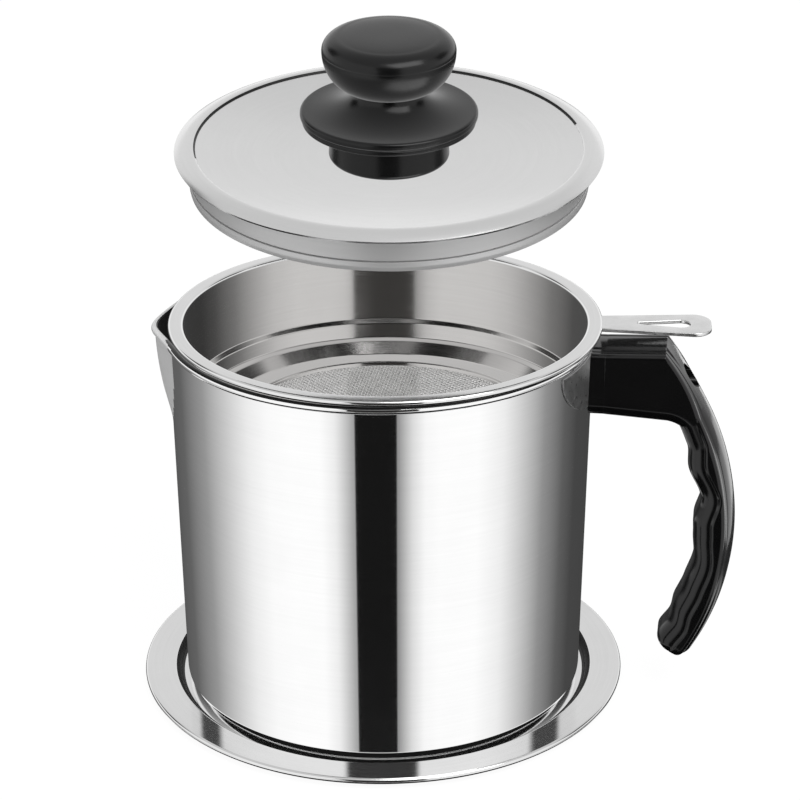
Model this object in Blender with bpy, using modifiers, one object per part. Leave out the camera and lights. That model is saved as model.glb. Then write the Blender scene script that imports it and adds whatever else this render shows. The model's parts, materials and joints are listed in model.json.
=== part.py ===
"""Oil strainer pot: a steel pot on a drip tray, with a lift-out strainer, a lid and a moulded handle.

Z is the axis of the pot and zero is the underside of the tray. The handle points along +X and
the spout along -X. The lid is modelled where it closes the strainer, and hangs from an empty on
the axis about which a hand lifts and tips it, so that turning the empty opens it.
"""
import math

import bmesh
import bpy
from mathutils import Matrix, Vector

MM = 0.001
DEGREE = math.pi / 180
RIGHT_ANGLE = math.pi / 2
FULL_TURN = 2 * math.pi

# Gaps and modelling
SEAT_GAP = 0.3 * MM
CUT_OVERRUN = 4 * MM
MERGE_DISTANCE = 0.01 * MM
SHARP_ANGLE = 38 * DEGREE
POT_SEGMENTS = 72
RING_SEGMENTS = 48
KNOB_SEGMENTS = 36
SCREW_SEGMENTS = 16
DISH_STEPS = 5
RIM_STEPS = 3

# Pot
POT_HEIGHT = 117.15 * MM
POT_RIM_RADIUS = 64.75 * MM
POT_TAPER = 2.1 * MM
POT_WALL = 0.8 * MM
POT_CORNER_RADIUS = 3.5 * MM
RIM_BEAD_RADIUS = 1.15 * MM

# Spout, a fold in the wall under the rim
SPOUT_REACH = 5.5 * MM
SPOUT_LENGTH = 28 * MM
SPOUT_DIP = 3 * MM
SPOUT_TIP_ANGLE = 5.5 * DEGREE
SPOUT_LEVELS = 6

# Tray
TRAY_SHEET = 0.6 * MM
TRAY_HEIGHT = 3.3 * MM
TRAY_CLEARANCE = 1.95 * MM
TRAY_WALL_RUN = 2 * MM
TRAY_FLANGE_WIDTH = 8.3 * MM
TRAY_ROLL_RADIUS = 1.35 * MM

# Strainer cup and its ring
STRAINER_SHEET = 0.6 * MM
RING_ROLL_RADIUS = 0.95 * MM
RING_OVERHANG = 1.25 * MM
STRAINER_SHIFT = 1.3 * MM
RING_WIDTH = 4.7 * MM
RING_EDGE_RADIUS = 1 * MM
CUP_TAPER = 0.3 * MM
CUP_DEPTH = 24.65 * MM
UPPER_LEDGE_WIDTH = 1.2 * MM
UPPER_LEDGE_DROP = 1.3 * MM
LOWER_WALL_DEPTH = 5 * MM
LOWER_LEDGE_WIDTH = 2.2 * MM
LOWER_LEDGE_DROP = 0.3 * MM
CONE_WIDTH = 3 * MM
CONE_DROP = 3.5 * MM
SHELF_WIDTH = 5.6 * MM

# Mesh and the two rings that hold it
FRAME_SHEET = 0.6 * MM
FRAME_WIDTH = 7.3 * MM
FRAME_BEAD_RADIUS = 0.8 * MM
CLAMP_SHEET = 0.6 * MM
MESH_SHEET = 0.4 * MM
MESH_MARGIN = 2.3 * MM
MESH_PITCH = 8 * MM
MESH_WIRE = 1.4 * MM

# Lifting tab of the strainer
TAB_BEARING = 4 * DEGREE
TAB_SHEET = 1.2 * MM
TAB_LENGTH = 32.4 * MM
TAB_ROOT_WIDTH = 10.8 * MM
TAB_END_WIDTH = 16 * MM
TAB_CORNER_RADIUS = 5.5 * MM
SLOT_END_MARGIN = 6.3 * MM
SLOT_LENGTH = 16.1 * MM
SLOT_WIDTH = 6 * MM
SLOT_POINT_WIDTH = 1.6 * MM

# Lid
LID_SHEET = 0.9 * MM
LID_OVERLAP = 1.95 * MM
LID_RIM_WIDTH = 4.95 * MM
LID_RIM_RISE = 1.7 * MM
LID_WALL_RUN = 1.3 * MM
LID_WALL_DROP = 0.75 * MM
LID_DISH_DEPTH = 4.7 * MM
LID_SCREW_HOLE = 4.6 * MM
SKIRT_SHEET = 0.7 * MM
SKIRT_DEPTH = 11 * MM
HEM_HEIGHT = 2.85 * MM
HEM_PROUD = 0.5 * MM

# How a hand holds the lid above the pot
LID_LIFT_ARM = 451.9 * MM
LID_LIFT_BEARING = -80 * DEGREE
LID_AXIS_DIP = 2.8 * DEGREE
LID_TILT = 6.82 * DEGREE

# Knob
COLLAR_RADIUS = 17.8 * MM
COLLAR_TAPER = 0.6 * MM
COLLAR_HEIGHT = 10.9 * MM
COLLAR_EDGE = 1 * MM
BASE_RING_RADIUS = 25.5 * MM
BASE_RING_HEIGHT = 1.5 * MM
BASE_RING_EDGE = 0.5 * MM
KNOB_RIM_RADIUS = 26.1 * MM
KNOB_RIM_HEIGHT = 2.2 * MM
KNOB_LIP = 1 * MM
KNOB_NECK_RADIUS = 10 * MM
KNOB_BELL_HEIGHT = 8.95 * MM
KNOB_HEAD_RADIUS = 19.55 * MM
KNOB_HEAD_BELLY = 11.4 * MM
KNOB_HEAD_SHOULDER = 4.5 * MM
KNOB_TOP_RADIUS = 14.3 * MM
KNOB_CROWN = 0.5 * MM
INSERT_RADIUS = 4 * MM
INSERT_LENGTH = 13.5 * MM
INSERT_BORE = 4.6 * MM

# Screws and washers
SCREW_DIAMETER = 4 * MM
KNOB_SCREW_HEAD_RADIUS = 4.2 * MM
KNOB_SCREW_HEAD_HEIGHT = 2.4 * MM
KNOB_SCREW_HEAD_ROUND = 0.8 * MM
KNOB_SCREW_REACH = 11.5 * MM
KNOB_WASHER_RADIUS = 6.5 * MM
KNOB_WASHER_SHEET = 1 * MM
HANDLE_SCREW_HEAD_RADIUS = 3.1 * MM
HANDLE_SCREW_HEAD_HEIGHT = 2.2 * MM
HANDLE_SCREW_GRIP = 12 * MM
HANDLE_WASHER_SHEET = 0.8 * MM

# Saddle on the pot wall, which carries the handle
SADDLE_SHEET = 0.8 * MM
SADDLE_HALF_ANGLE = 27 * DEGREE
SADDLE_HEIGHT = 17.5 * MM
SADDLE_DROP = 3.6 * MM
SADDLE_COLUMNS = 16
SADDLE_END_SHARE = 0.08
BOSS_RADIUS = 4.5 * MM
BOSS_LENGTH = 17 * MM
BOSS_BORE = 4.6 * MM
BOSS_DROP = 12.4 * MM

# Handle
HANDLE_THICKNESS = 19 * MM
HANDLE_BACK_ROUND = 1.6 * MM
GRIP_CROWN = 2.6 * MM
ARM_CROWN = 0.4 * MM
HANDLE_FINGER_ROUND = 6 * MM
HANDLE_FINGER_ROUND_DEPTH = 4.5 * MM
HANDLE_PROJECTION = 45.05 * MM
HANDLE_BACK_RADIUS = 86.2 * MM
FERRULE_LENGTH = 2.8 * MM
ARM_DROP = 2.55 * MM
ARM_HEIGHT = 22.65 * MM
ARM_ROOT_TOP_DROP = 0.7 * MM
ARM_ROOT_BOTTOM_RISE = 1.05 * MM
ARM_LENGTH = 17.95 * MM
GRIP_DEPTH = 13 * MM
GRIP_TIP_ANGLE = -29.5 * DEGREE
GRIP_TIP_ROUND = 3.5 * MM
GRIP_STATIONS = 22
TIP_STATIONS = 3
TIP_TURN = 85 * DEGREE
KNEE_STATIONS = 5
KNEE_ANGLE = 27 * DEGREE
KNEE_LENGTH_SHARE = 0.45
COUNTERBORE_RADIUS = 3.6 * MM
# Depth of the grip below its back, as a share of GRIP_DEPTH, from the knee to the tip
FINGER_SHARES = ((0.0, 0.77), (0.09, 0.79), (0.2, 0.93), (0.33, 0.75), (0.45, 0.97), (0.5, 0.96),
                 (0.63, 0.84), (0.75, 0.88), (0.85, 0.92), (0.93, 0.87), (1.0, 0.94))

# Heights and radii that follow from these sizes
POT_BASE_RADIUS = POT_RIM_RADIUS - POT_TAPER
POT_FLOOR = TRAY_SHEET + SEAT_GAP
RIM_BEAD_HEIGHT = POT_FLOOR + POT_HEIGHT - RIM_BEAD_RADIUS
RING_HEIGHT = POT_FLOOR + POT_HEIGHT + SEAT_GAP + RING_ROLL_RADIUS
RING_TOP = RING_HEIGHT + RING_ROLL_RADIUS
RING_RADIUS = POT_RIM_RADIUS + RING_OVERHANG
CUP_RADIUS = RING_RADIUS - RING_WIDTH
LID_RADIUS = CUP_RADIUS + LID_OVERLAP
LID_CREST_RADIUS = LID_RADIUS - LID_RIM_WIDTH
LID_FOOT_RADIUS = LID_CREST_RADIUS - LID_WALL_RUN
LID_EDGE_TOP = RING_TOP + SEAT_GAP + LID_SHEET
LID_CREST_TOP = LID_EDGE_TOP + LID_RIM_RISE
LID_FOOT_TOP = LID_CREST_TOP - LID_WALL_DROP
LID_MIDDLE_TOP = LID_FOOT_TOP - LID_DISH_DEPTH
ARM_TOP = POT_FLOOR + POT_HEIGHT - ARM_DROP
ARM_BOTTOM = ARM_TOP - ARM_HEIGHT
ARM_ROOT_TOP = ARM_TOP - ARM_ROOT_TOP_DROP
ARM_ROOT_BOTTOM = ARM_BOTTOM + ARM_ROOT_BOTTOM_RISE
BOSS_HEIGHT = POT_FLOOR + POT_HEIGHT - BOSS_DROP


def wall_radius(height):
    """Radius of the pot's outer face at a height."""
    low = POT_FLOOR + POT_CORNER_RADIUS
    share = (height - low) / (RIM_BEAD_HEIGHT - low)
    return POT_BASE_RADIUS + (POT_RIM_RADIUS - POT_BASE_RADIUS) * share


def lid_dish(radius):
    """Height of the lid's dished middle at a radius."""
    share = radius / LID_FOOT_RADIUS
    return LID_MIDDLE_TOP + LID_DISH_DEPTH * share * share


def knob_foot():
    """Underside of the knob's collar, on the dished lid."""
    return lid_dish(COLLAR_RADIUS) + SEAT_GAP


def new_collection(name):
    collection = bpy.data.collections.new(name)
    bpy.context.scene.collection.children.link(collection)
    return collection


def clear_scene():
    for obj in list(bpy.data.objects):
        bpy.data.objects.remove(obj, do_unlink=True)


def paint(obj, colour, roughness, metallic):
    """Give an object a material of its own."""
    material = bpy.data.materials.new(obj.name)
    material.use_nodes = True
    shader = material.node_tree.nodes["Principled BSDF"]
    shader.inputs["Base Color"].default_value = (*colour, 1)
    shader.inputs["Roughness"].default_value = roughness
    shader.inputs["Metallic"].default_value = metallic
    obj.data.materials.clear()
    obj.data.materials.append(material)
    return obj


def steel(obj, brightness=0.62, roughness=0.3):
    return paint(obj, (brightness, brightness, brightness), roughness, 1)


def black_plastic(obj, roughness=0.3):
    return paint(obj, (0.012, 0.012, 0.013), roughness, 0)


def arc(centre, radii, start, end, steps):
    """Points of an ellipse's arc, both ends included."""
    points = []
    for i in range(steps + 1):
        angle = start + (end - start) * i / steps
        x = centre[0] + radii[0] * math.cos(angle)
        y = centre[1] + radii[1] * math.sin(angle)
        points.append(Vector((x, y)))
    return points


def offset_path(path, distance):
    """The path moved to its right-hand side by a distance, with mitred corners."""
    moved = []
    for i, point in enumerate(path):
        normals = []
        if i > 0:
            step = (point - path[i - 1]).normalized()
            normals.append(Vector((step.y, -step.x)))
        if i < len(path) - 1:
            step = (path[i + 1] - point).normalized()
            normals.append(Vector((step.y, -step.x)))
        mitre = sum(normals, Vector((0, 0))).normalized()
        moved.append(point + mitre * (distance / mitre.dot(normals[0])))
    return moved


def bake(obj):
    """Replace an object's mesh by its evaluated one, smooth but for its sharp edges."""
    graph = bpy.context.evaluated_depsgraph_get()
    mesh = bpy.data.meshes.new_from_object(obj.evaluated_get(graph))
    old = obj.data
    obj.modifiers.clear()
    obj.data = mesh
    if isinstance(old, bpy.types.Mesh):
        bpy.data.meshes.remove(old)
    mesh.name = obj.name
    mesh.shade_smooth()
    mesh.set_sharp_from_angle(angle=SHARP_ANGLE)
    return obj


def turned(name, profile, segments, collection):
    """A profile of (radius, height) points turned about Z.

    A profile with both ends on the axis is left open there, and any other is closed. It runs
    down its outer side.
    """
    points = [Vector(point) for point in profile]
    open_ended = points[0].x == 0 and points[-1].x == 0
    mesh = bpy.data.meshes.new(name)
    edges = [(i, i + 1) for i in range(len(points) - 1)]
    if not open_ended:
        edges.append((len(points) - 1, 0))
    mesh.from_pydata([(point.x, 0, point.y) for point in points], edges, [])
    obj = bpy.data.objects.new(name, mesh)
    collection.objects.link(obj)
    screw = obj.modifiers.new("turn", "SCREW")
    screw.axis = "Z"
    screw.angle = FULL_TURN
    screw.steps = segments
    screw.render_steps = segments
    screw.use_merge_vertices = True
    screw.merge_threshold = MERGE_DISTANCE
    screw.use_smooth_shade = True
    return bake(obj)


def from_bmesh(name, mesh_data, collection):
    """An object from a bmesh, with its faces turned outward."""
    bmesh.ops.recalc_face_normals(mesh_data, faces=mesh_data.faces)
    mesh = bpy.data.meshes.new(name)
    mesh_data.to_mesh(mesh)
    mesh_data.free()
    obj = bpy.data.objects.new(name, mesh)
    collection.objects.link(obj)
    mesh.shade_smooth()
    mesh.set_sharp_from_angle(angle=SHARP_ANGLE)
    return obj


def lofted(name, rings, collection):
    """A solid through rings of as many points each, capped at both ends."""
    loft = bmesh.new()
    rows = [[loft.verts.new(point) for point in ring] for ring in rings]
    count = len(rows[0])
    for lower, upper in zip(rows, rows[1:]):
        for i in range(count):
            j = (i + 1) % count
            loft.faces.new((lower[i], lower[j], upper[j], upper[i]))
    loft.faces.new(rows[0])
    loft.faces.new(rows[-1])
    return from_bmesh(name, loft, collection)


def cut(obj, cutter):
    boolean = obj.modifiers.new(cutter.name, "BOOLEAN")
    boolean.operation = "DIFFERENCE"
    boolean.solver = "EXACT"
    boolean.object = cutter
    return obj


def as_cutter(obj):
    obj.hide_render = True
    obj.display_type = "WIRE"
    return obj


def lay_along_x(obj, height):
    """Turn a piece made about Z so that its axis lies along +X at a height."""
    obj.rotation_euler = (0, RIGHT_ANGLE, 0)
    obj.location = (0, 0, height)
    return obj


def tray(parts):
    """Shallow dish with a flat flange and a rolled edge."""
    floor_radius = POT_BASE_RADIUS + TRAY_CLEARANCE
    flange_radius = floor_radius + TRAY_WALL_RUN
    roll_radius = flange_radius + TRAY_FLANGE_WIDTH
    top = [Vector((0, TRAY_SHEET)), Vector((floor_radius, TRAY_SHEET)),
           Vector((flange_radius, TRAY_HEIGHT)), Vector((roll_radius, TRAY_HEIGHT))]
    under = offset_path(top, TRAY_SHEET)
    under[-1].x = roll_radius - TRAY_ROLL_RADIUS
    centre = (roll_radius, TRAY_HEIGHT - TRAY_ROLL_RADIUS)
    radii = (TRAY_ROLL_RADIUS, TRAY_ROLL_RADIUS)
    roll = arc(centre, radii, RIGHT_ANGLE, -2 * RIGHT_ANGLE, 6)
    obj = turned("tray", top[:-1] + roll + under[::-1], RING_SEGMENTS, parts)
    return steel(obj, 0.6, 0.16)


def spout_share(height):
    """How far up the spout a height is, from 0 at its foot to 1 at the rim bead."""
    top = RIM_BEAD_HEIGHT - RIM_BEAD_RADIUS
    return min(max((height - top + SPOUT_LENGTH) / SPOUT_LENGTH, 0), 1)


def spout_push(angle, share):
    """How far the wall is folded out, at an angle from the spout's ridge and a share of its height.

    The two flanks are flat and meet the round wall as tangents, and the ridge is softened. It leaves
    the wall in a short curve at its foot and is nearly upright above it.
    """
    if share == 0:
        return 0
    bulge = math.sqrt(share * (2 - share))
    tip = math.acos(POT_RIM_RADIUS / (POT_RIM_RADIUS + SPOUT_REACH * bulge))
    soft = SPOUT_TIP_ANGLE * math.sqrt(bulge)
    left = tip + soft - math.sqrt(angle * angle + soft * soft)
    return POT_RIM_RADIUS * (1 / math.cos(max(left, 0)) - 1)


def pot_body(parts):
    """Slightly conical pot with a rim bead, and the spout folded into its wall."""
    base = wall_radius(POT_FLOOR + POT_CORNER_RADIUS)
    centre = (base - POT_CORNER_RADIUS, POT_FLOOR + POT_CORNER_RADIUS)
    radii = (POT_CORNER_RADIUS, POT_CORNER_RADIUS)
    outer = [Vector((0, POT_FLOOR))] + arc(centre, radii, -RIGHT_ANGLE, 0, 3)
    bead_foot = RIM_BEAD_HEIGHT - RIM_BEAD_RADIUS
    for i in range(SPOUT_LEVELS + 1):
        height = bead_foot - SPOUT_LENGTH * (1 - (i / SPOUT_LEVELS) ** 2)
        outer.append(Vector((wall_radius(height), height)))
    inner = offset_path(outer, -POT_WALL)
    bead_start = math.acos(-POT_WALL / RIM_BEAD_RADIUS)
    bead_radii = (RIM_BEAD_RADIUS, RIM_BEAD_RADIUS)
    bead = arc((POT_RIM_RADIUS, RIM_BEAD_HEIGHT), bead_radii, bead_start, -RIGHT_ANGLE, 6)
    obj = turned("pot_body", inner + bead[:-1] + outer[::-1], POT_SEGMENTS, parts)
    tip_push = spout_push(0, 1)
    for vertex in obj.data.vertices:
        x, y, z = vertex.co
        share = spout_share(z)
        radius = math.hypot(x, y)
        push = spout_push(math.atan2(y, -x), share) if share and radius else 0
        if push:
            stretch = (radius + push) / radius
            vertex.co = (x * stretch, y * stretch, z - SPOUT_DIP * share * share * push / tip_push)
    obj.data.update()
    return steel(obj, 0.6, 0.08)


def saddle_plate(parts):
    """Half-round plate, bent round the pot wall."""
    top = POT_FLOOR + POT_HEIGHT - SADDLE_DROP
    face = bmesh.new()
    columns = []
    for i in range(SADDLE_COLUMNS + 1):
        share = 2 * i / SADDLE_COLUMNS - 1
        angle = share * SADDLE_HALF_ANGLE
        drop = SADDLE_HEIGHT * max(math.sqrt(1 - share * share), SADDLE_END_SHARE)
        column = []
        for height in (top - drop, top):
            radius = wall_radius(height) + SEAT_GAP
            column.append(face.verts.new((radius * math.cos(angle), radius * math.sin(angle), height)))
        columns.append(column)
    for left, right in zip(columns, columns[1:]):
        face.faces.new((left[0], right[0], right[1], left[1]))
    mesh = bpy.data.meshes.new("saddle_plate")
    face.to_mesh(mesh)
    face.free()
    obj = bpy.data.objects.new("saddle_plate", mesh)
    parts.objects.link(obj)
    solidify = obj.modifiers.new("sheet", "SOLIDIFY")
    solidify.thickness = SADDLE_SHEET
    solidify.offset = 1
    solidify.use_even_offset = True
    return steel(bake(obj), 0.5, 0.3)


def boss_start():
    """Where the boss starts, just outside the saddle plate."""
    return wall_radius(BOSS_HEIGHT) + SEAT_GAP + SADDLE_SHEET + SEAT_GAP


def arm_start():
    """Where the arm starts, beyond the ferrule and the widest place of the wall behind it."""
    widest = max(wall_radius(ARM_TOP), wall_radius(ARM_BOTTOM))
    return widest + SEAT_GAP + SADDLE_SHEET + SEAT_GAP + FERRULE_LENGTH


def saddle_boss(parts):
    """Threaded boss on the saddle plate, inside the handle."""
    start = boss_start()
    end = start + BOSS_LENGTH
    profile = [(BOSS_RADIUS, end), (BOSS_RADIUS, start), (BOSS_BORE / 2, start), (BOSS_BORE / 2, end)]
    return steel(lay_along_x(turned("saddle_boss", profile, SCREW_SEGMENTS, parts), BOSS_HEIGHT), 0.5, 0.4)


def handle_ring(inner, outer, crown, inset=0):
    """Ring of points round the handle, between a point on its finger side and the crown of its back."""
    across = (outer - inner).normalized()
    half = HANDLE_THICKNESS / 2 - inset
    crown *= (2 * half / HANDLE_THICKNESS) ** 2
    depth = (outer - inner).length - 2 * inset - crown
    wide = min(HANDLE_FINGER_ROUND, half)
    deep = min(HANDLE_FINGER_ROUND_DEPTH, depth / 2)
    back = min(HANDLE_BACK_ROUND, depth / 2)
    side = arc((half - wide, deep), (wide, deep), -RIGHT_ANGLE, 0, 3)
    side += arc((half - back, depth - back), (back, back), 0, RIGHT_ANGLE, 2)
    side.append(Vector(((half - back) / 2, depth + crown * 3 / 4)))
    side.append(Vector((0, depth + crown)))
    start = inner + across * inset
    ring = []
    for y, along in side + [Vector((-point.x, point.y)) for point in side[-2::-1]]:
        place = start + across * along
        ring.append((place.x, y, place.y))
    return ring


def finger_depth(share):
    """Depth of the grip at a share of its length, smoothly through FINGER_SHARES."""
    for (low, low_depth), (high, high_depth) in zip(FINGER_SHARES, FINGER_SHARES[1:]):
        if share <= high:
            t = (share - low) / (high - low)
            blend = t * t * (3 - 2 * t)
            return GRIP_DEPTH * (low_depth + (high_depth - low_depth) * blend)
    return GRIP_DEPTH * FINGER_SHARES[-1][1]


def handle_back(angle, depth=0):
    """Point below the round back of the handle, in the plane of X and Z."""
    centre_x = POT_RIM_RADIUS + HANDLE_PROJECTION - HANDLE_BACK_RADIUS
    corner_x = arm_start() + ARM_LENGTH
    centre_z = ARM_TOP - math.sqrt(HANDLE_BACK_RADIUS ** 2 - (corner_x - centre_x) ** 2)
    radius = HANDLE_BACK_RADIUS - depth
    return Vector((centre_x + radius * math.cos(angle), centre_z + radius * math.sin(angle)))


def handle_stations():
    """Rings from the arm's end at the pot, round the knee and down to the tip."""
    start = arm_start() + SEAT_GAP
    corner_x = arm_start() + ARM_LENGTH
    centre_x = handle_back(0).x - HANDLE_BACK_RADIUS
    corner_angle = math.acos((corner_x - centre_x) / HANDLE_BACK_RADIUS)
    knee = handle_back(KNEE_ANGLE, finger_depth(0))
    bend = Vector((corner_x + (knee.x - corner_x) * (1 - KNEE_LENGTH_SHARE / 2), ARM_BOTTOM))
    low_corner = Vector((corner_x, ARM_BOTTOM))
    rings = [handle_ring(Vector((start, ARM_ROOT_BOTTOM)), Vector((start, ARM_ROOT_TOP)), ARM_CROWN)]
    for i in range(KNEE_STATIONS):
        t = i / KNEE_STATIONS
        inner = low_corner * (1 - t) ** 2 + bend * (2 * t * (1 - t)) + knee * t * t
        outer = handle_back(corner_angle + (KNEE_ANGLE - corner_angle) * t)
        rings.append(handle_ring(inner, outer, ARM_CROWN + (GRIP_CROWN - ARM_CROWN) * t))
    for i in range(GRIP_STATIONS + 1):
        share = i / GRIP_STATIONS
        angle = KNEE_ANGLE + (GRIP_TIP_ANGLE - KNEE_ANGLE) * share
        rings.append(handle_ring(handle_back(angle, finger_depth(share)), handle_back(angle), GRIP_CROWN))
    tip_inner = handle_back(GRIP_TIP_ANGLE, finger_depth(1))
    tip_outer = handle_back(GRIP_TIP_ANGLE)
    onward = Vector((math.sin(GRIP_TIP_ANGLE), -math.cos(GRIP_TIP_ANGLE)))
    for i in range(1, TIP_STATIONS + 1):
        turn = TIP_TURN * i / TIP_STATIONS
        shift = onward * (GRIP_TIP_ROUND * math.sin(turn))
        inset = GRIP_TIP_ROUND * (1 - math.cos(turn))
        rings.append(handle_ring(tip_inner + shift, tip_outer + shift, GRIP_CROWN, inset))
    return rings


def screw_seat():
    """Where the washer of the handle's screw rests, at the bottom of the counterbore."""
    return boss_start() + BOSS_LENGTH + SEAT_GAP + HANDLE_SCREW_HEAD_HEIGHT


def handle_grip(parts, cutters):
    """Arm and grip in one moulding, bored for the boss and the long screw."""
    obj = lofted("handle_grip", handle_stations(), parts)
    bore_start = boss_start() - CUT_OVERRUN
    pocket_end = boss_start() + BOSS_LENGTH + SEAT_GAP
    bore_end = POT_RIM_RADIUS + HANDLE_PROJECTION + CUT_OVERRUN
    pocket = BOSS_RADIUS + SEAT_GAP
    clearance = SCREW_DIAMETER / 2 + SEAT_GAP
    profile = [(0, bore_end), (COUNTERBORE_RADIUS, bore_end), (COUNTERBORE_RADIUS, screw_seat()),
               (clearance, screw_seat()), (clearance, pocket_end), (pocket, pocket_end),
               (pocket, bore_start), (0, bore_start)]
    bore = as_cutter(turned("handle_bore", profile, SCREW_SEGMENTS, cutters))
    lay_along_x(bore, BOSS_HEIGHT)
    return black_plastic(cut(obj, bore), 0.2)


def handle_ferrule(parts, cutters):
    """Short collar between the saddle plate and the arm, hollowed to fit round the plate."""
    end = arm_start()
    start = min(wall_radius(ARM_TOP), wall_radius(ARM_BOTTOM)) - CUT_OVERRUN
    rings = []
    for x in (end, start):
        rings.append(handle_ring(Vector((x, ARM_ROOT_BOTTOM)), Vector((x, ARM_ROOT_TOP)), ARM_CROWN))
    obj = lofted("handle_ferrule", rings, parts)
    low = ARM_BOTTOM - CUT_OVERRUN
    high = ARM_TOP + CUT_OVERRUN
    plate = 2 * SEAT_GAP + SADDLE_SHEET
    profile = [(0, high), (wall_radius(high) + plate, high), (wall_radius(low) + plate, low), (0, low)]
    wall = as_cutter(turned("ferrule_hollow", profile, 2 * POT_SEGMENTS, cutters))
    boss = BOSS_RADIUS + SEAT_GAP
    far = end + CUT_OVERRUN
    near = start - CUT_OVERRUN
    profile = [(0, far), (boss, far), (boss, near), (0, near)]
    hole = as_cutter(turned("ferrule_hole", profile, SCREW_SEGMENTS, cutters))
    lay_along_x(hole, BOSS_HEIGHT)
    return black_plastic(cut(cut(obj, wall), hole), 0.25)


def handle_screw(parts):
    """Long screw from the counterbore into the boss."""
    seat = screw_seat() + SEAT_GAP + HANDLE_WASHER_SHEET + SEAT_GAP
    radius = SCREW_DIAMETER / 2
    end = seat - HANDLE_SCREW_GRIP
    head = HANDLE_SCREW_HEAD_RADIUS
    top = seat + HANDLE_SCREW_HEAD_HEIGHT
    profile = [(0, top), (head, top), (head, seat), (radius, seat), (radius, end), (0, end)]
    obj = lay_along_x(turned("handle_screw", profile, SCREW_SEGMENTS, parts), BOSS_HEIGHT)
    return steel(obj, 0.5, 0.35)


def handle_washer(parts):
    """Washer at the bottom of the counterbore."""
    low = screw_seat() + SEAT_GAP
    high = low + HANDLE_WASHER_SHEET
    bore = SCREW_DIAMETER / 2 + SEAT_GAP
    outer = HANDLE_SCREW_HEAD_RADIUS
    profile = [(outer, high), (outer, low), (bore, low), (bore, high)]
    return steel(lay_along_x(turned("handle_washer", profile, SCREW_SEGMENTS, parts), BOSS_HEIGHT), 0.5, 0.35)


def cup_path():
    """Visible face of the strainer, from its shelf up to the edge of its ring."""
    path = [Vector((CUP_RADIUS, RING_TOP - RING_EDGE_RADIUS))]
    path.append(Vector((CUP_RADIUS - CUP_TAPER, RING_TOP - CUP_DEPTH)))
    mesh_drop = FRAME_SHEET + MESH_SHEET + CLAMP_SHEET + 3 * SEAT_GAP
    steps = ((UPPER_LEDGE_WIDTH, UPPER_LEDGE_DROP), (0, LOWER_WALL_DEPTH),
             (LOWER_LEDGE_WIDTH, LOWER_LEDGE_DROP), (CONE_WIDTH, CONE_DROP), (0, mesh_drop), (SHELF_WIDTH, 0))
    for inward, down in steps:
        path.append(path[-1] - Vector((inward, down)))
    centre = (CUP_RADIUS + RING_EDGE_RADIUS, RING_TOP - RING_EDGE_RADIUS)
    edge = arc(centre, (RING_EDGE_RADIUS, RING_EDGE_RADIUS), 2 * RIGHT_ANGLE, RIGHT_ANGLE, 3)
    return path[:0:-1] + edge + [Vector((RING_RADIUS - RING_ROLL_RADIUS, RING_TOP))]


def shelf():
    """Outer radius and height of the shelf on which the clamp ring lies."""
    return cup_path()[1]


def strainer_cup(parts):
    """Flat ring with a rolled edge, and the stepped cup under it."""
    face = cup_path()
    under = offset_path(face, STRAINER_SHEET)
    under[-1].x = RING_RADIUS - 2 * RING_ROLL_RADIUS
    centre = (RING_RADIUS - RING_ROLL_RADIUS, RING_HEIGHT)
    roll = arc(centre, (RING_ROLL_RADIUS, RING_ROLL_RADIUS), RIGHT_ANGLE, -2 * RIGHT_ANGLE, 6)
    obj = turned("strainer_cup", face[:-1] + roll + under[::-1], RING_SEGMENTS, parts)
    return steel(obj, 0.6, 0.28)


def flat_ring(name, inner, outer, low, thickness, parts):
    profile = [(outer, low + thickness), (outer, low), (inner, low), (inner, low + thickness)]
    return turned(name, profile, RING_SEGMENTS, parts)


def mesh_clamp(parts):
    """Lower ring, between the cup's shelf and the mesh."""
    outer = shelf().x - SEAT_GAP
    obj = flat_ring("mesh_clamp", outer - FRAME_WIDTH, outer, shelf().y + SEAT_GAP, CLAMP_SHEET, parts)
    return steel(obj, 0.45, 0.35)


def strainer_mesh(parts, cutters):
    """Disc of mesh, as a flat net with square gaps."""
    radius = shelf().x - MESH_MARGIN
    low = shelf().y + 2 * SEAT_GAP + CLAMP_SHEET
    profile = [(0, low + MESH_SHEET), (radius, low + MESH_SHEET), (radius, low), (0, low)]
    obj = turned("strainer_mesh", profile, RING_SEGMENTS, parts)
    clear_radius = shelf().x - SEAT_GAP - FRAME_WIDTH
    half_gap = (MESH_PITCH - MESH_WIRE) / 2
    count = math.ceil(clear_radius / MESH_PITCH)
    gaps = bmesh.new()
    for row in range(-count, count + 1):
        for column in range(-count, count + 1):
            x = column * MESH_PITCH
            y = row * MESH_PITCH
            if math.hypot(abs(x) + half_gap, abs(y) + half_gap) > clear_radius:
                continue
            place = Matrix.Translation((x, y, low + MESH_SHEET / 2))
            size = Matrix.Diagonal((2 * half_gap, 2 * half_gap, MESH_SHEET + CUT_OVERRUN, 1))
            bmesh.ops.create_cube(gaps, size=1, matrix=place @ size)
    cutter = as_cutter(from_bmesh("mesh_gaps", gaps, cutters))
    return steel(cut(obj, cutter), 0.35, 0.4)


def mesh_frame(parts):
    """Upper ring, with a bead round the mesh."""
    outer = shelf().x - SEAT_GAP
    inner = outer - FRAME_WIDTH
    low = shelf().y + 3 * SEAT_GAP + CLAMP_SHEET + MESH_SHEET
    high = low + FRAME_SHEET
    bead = arc((inner, high), (FRAME_BEAD_RADIUS, FRAME_BEAD_RADIUS), 2 * RIGHT_ANGLE, 0, 4)
    profile = bead + [(outer, high), (outer, low), (inner - FRAME_BEAD_RADIUS, low)]
    return steel(turned("mesh_frame", profile, RING_SEGMENTS, parts), 0.6, 0.3)


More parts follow.
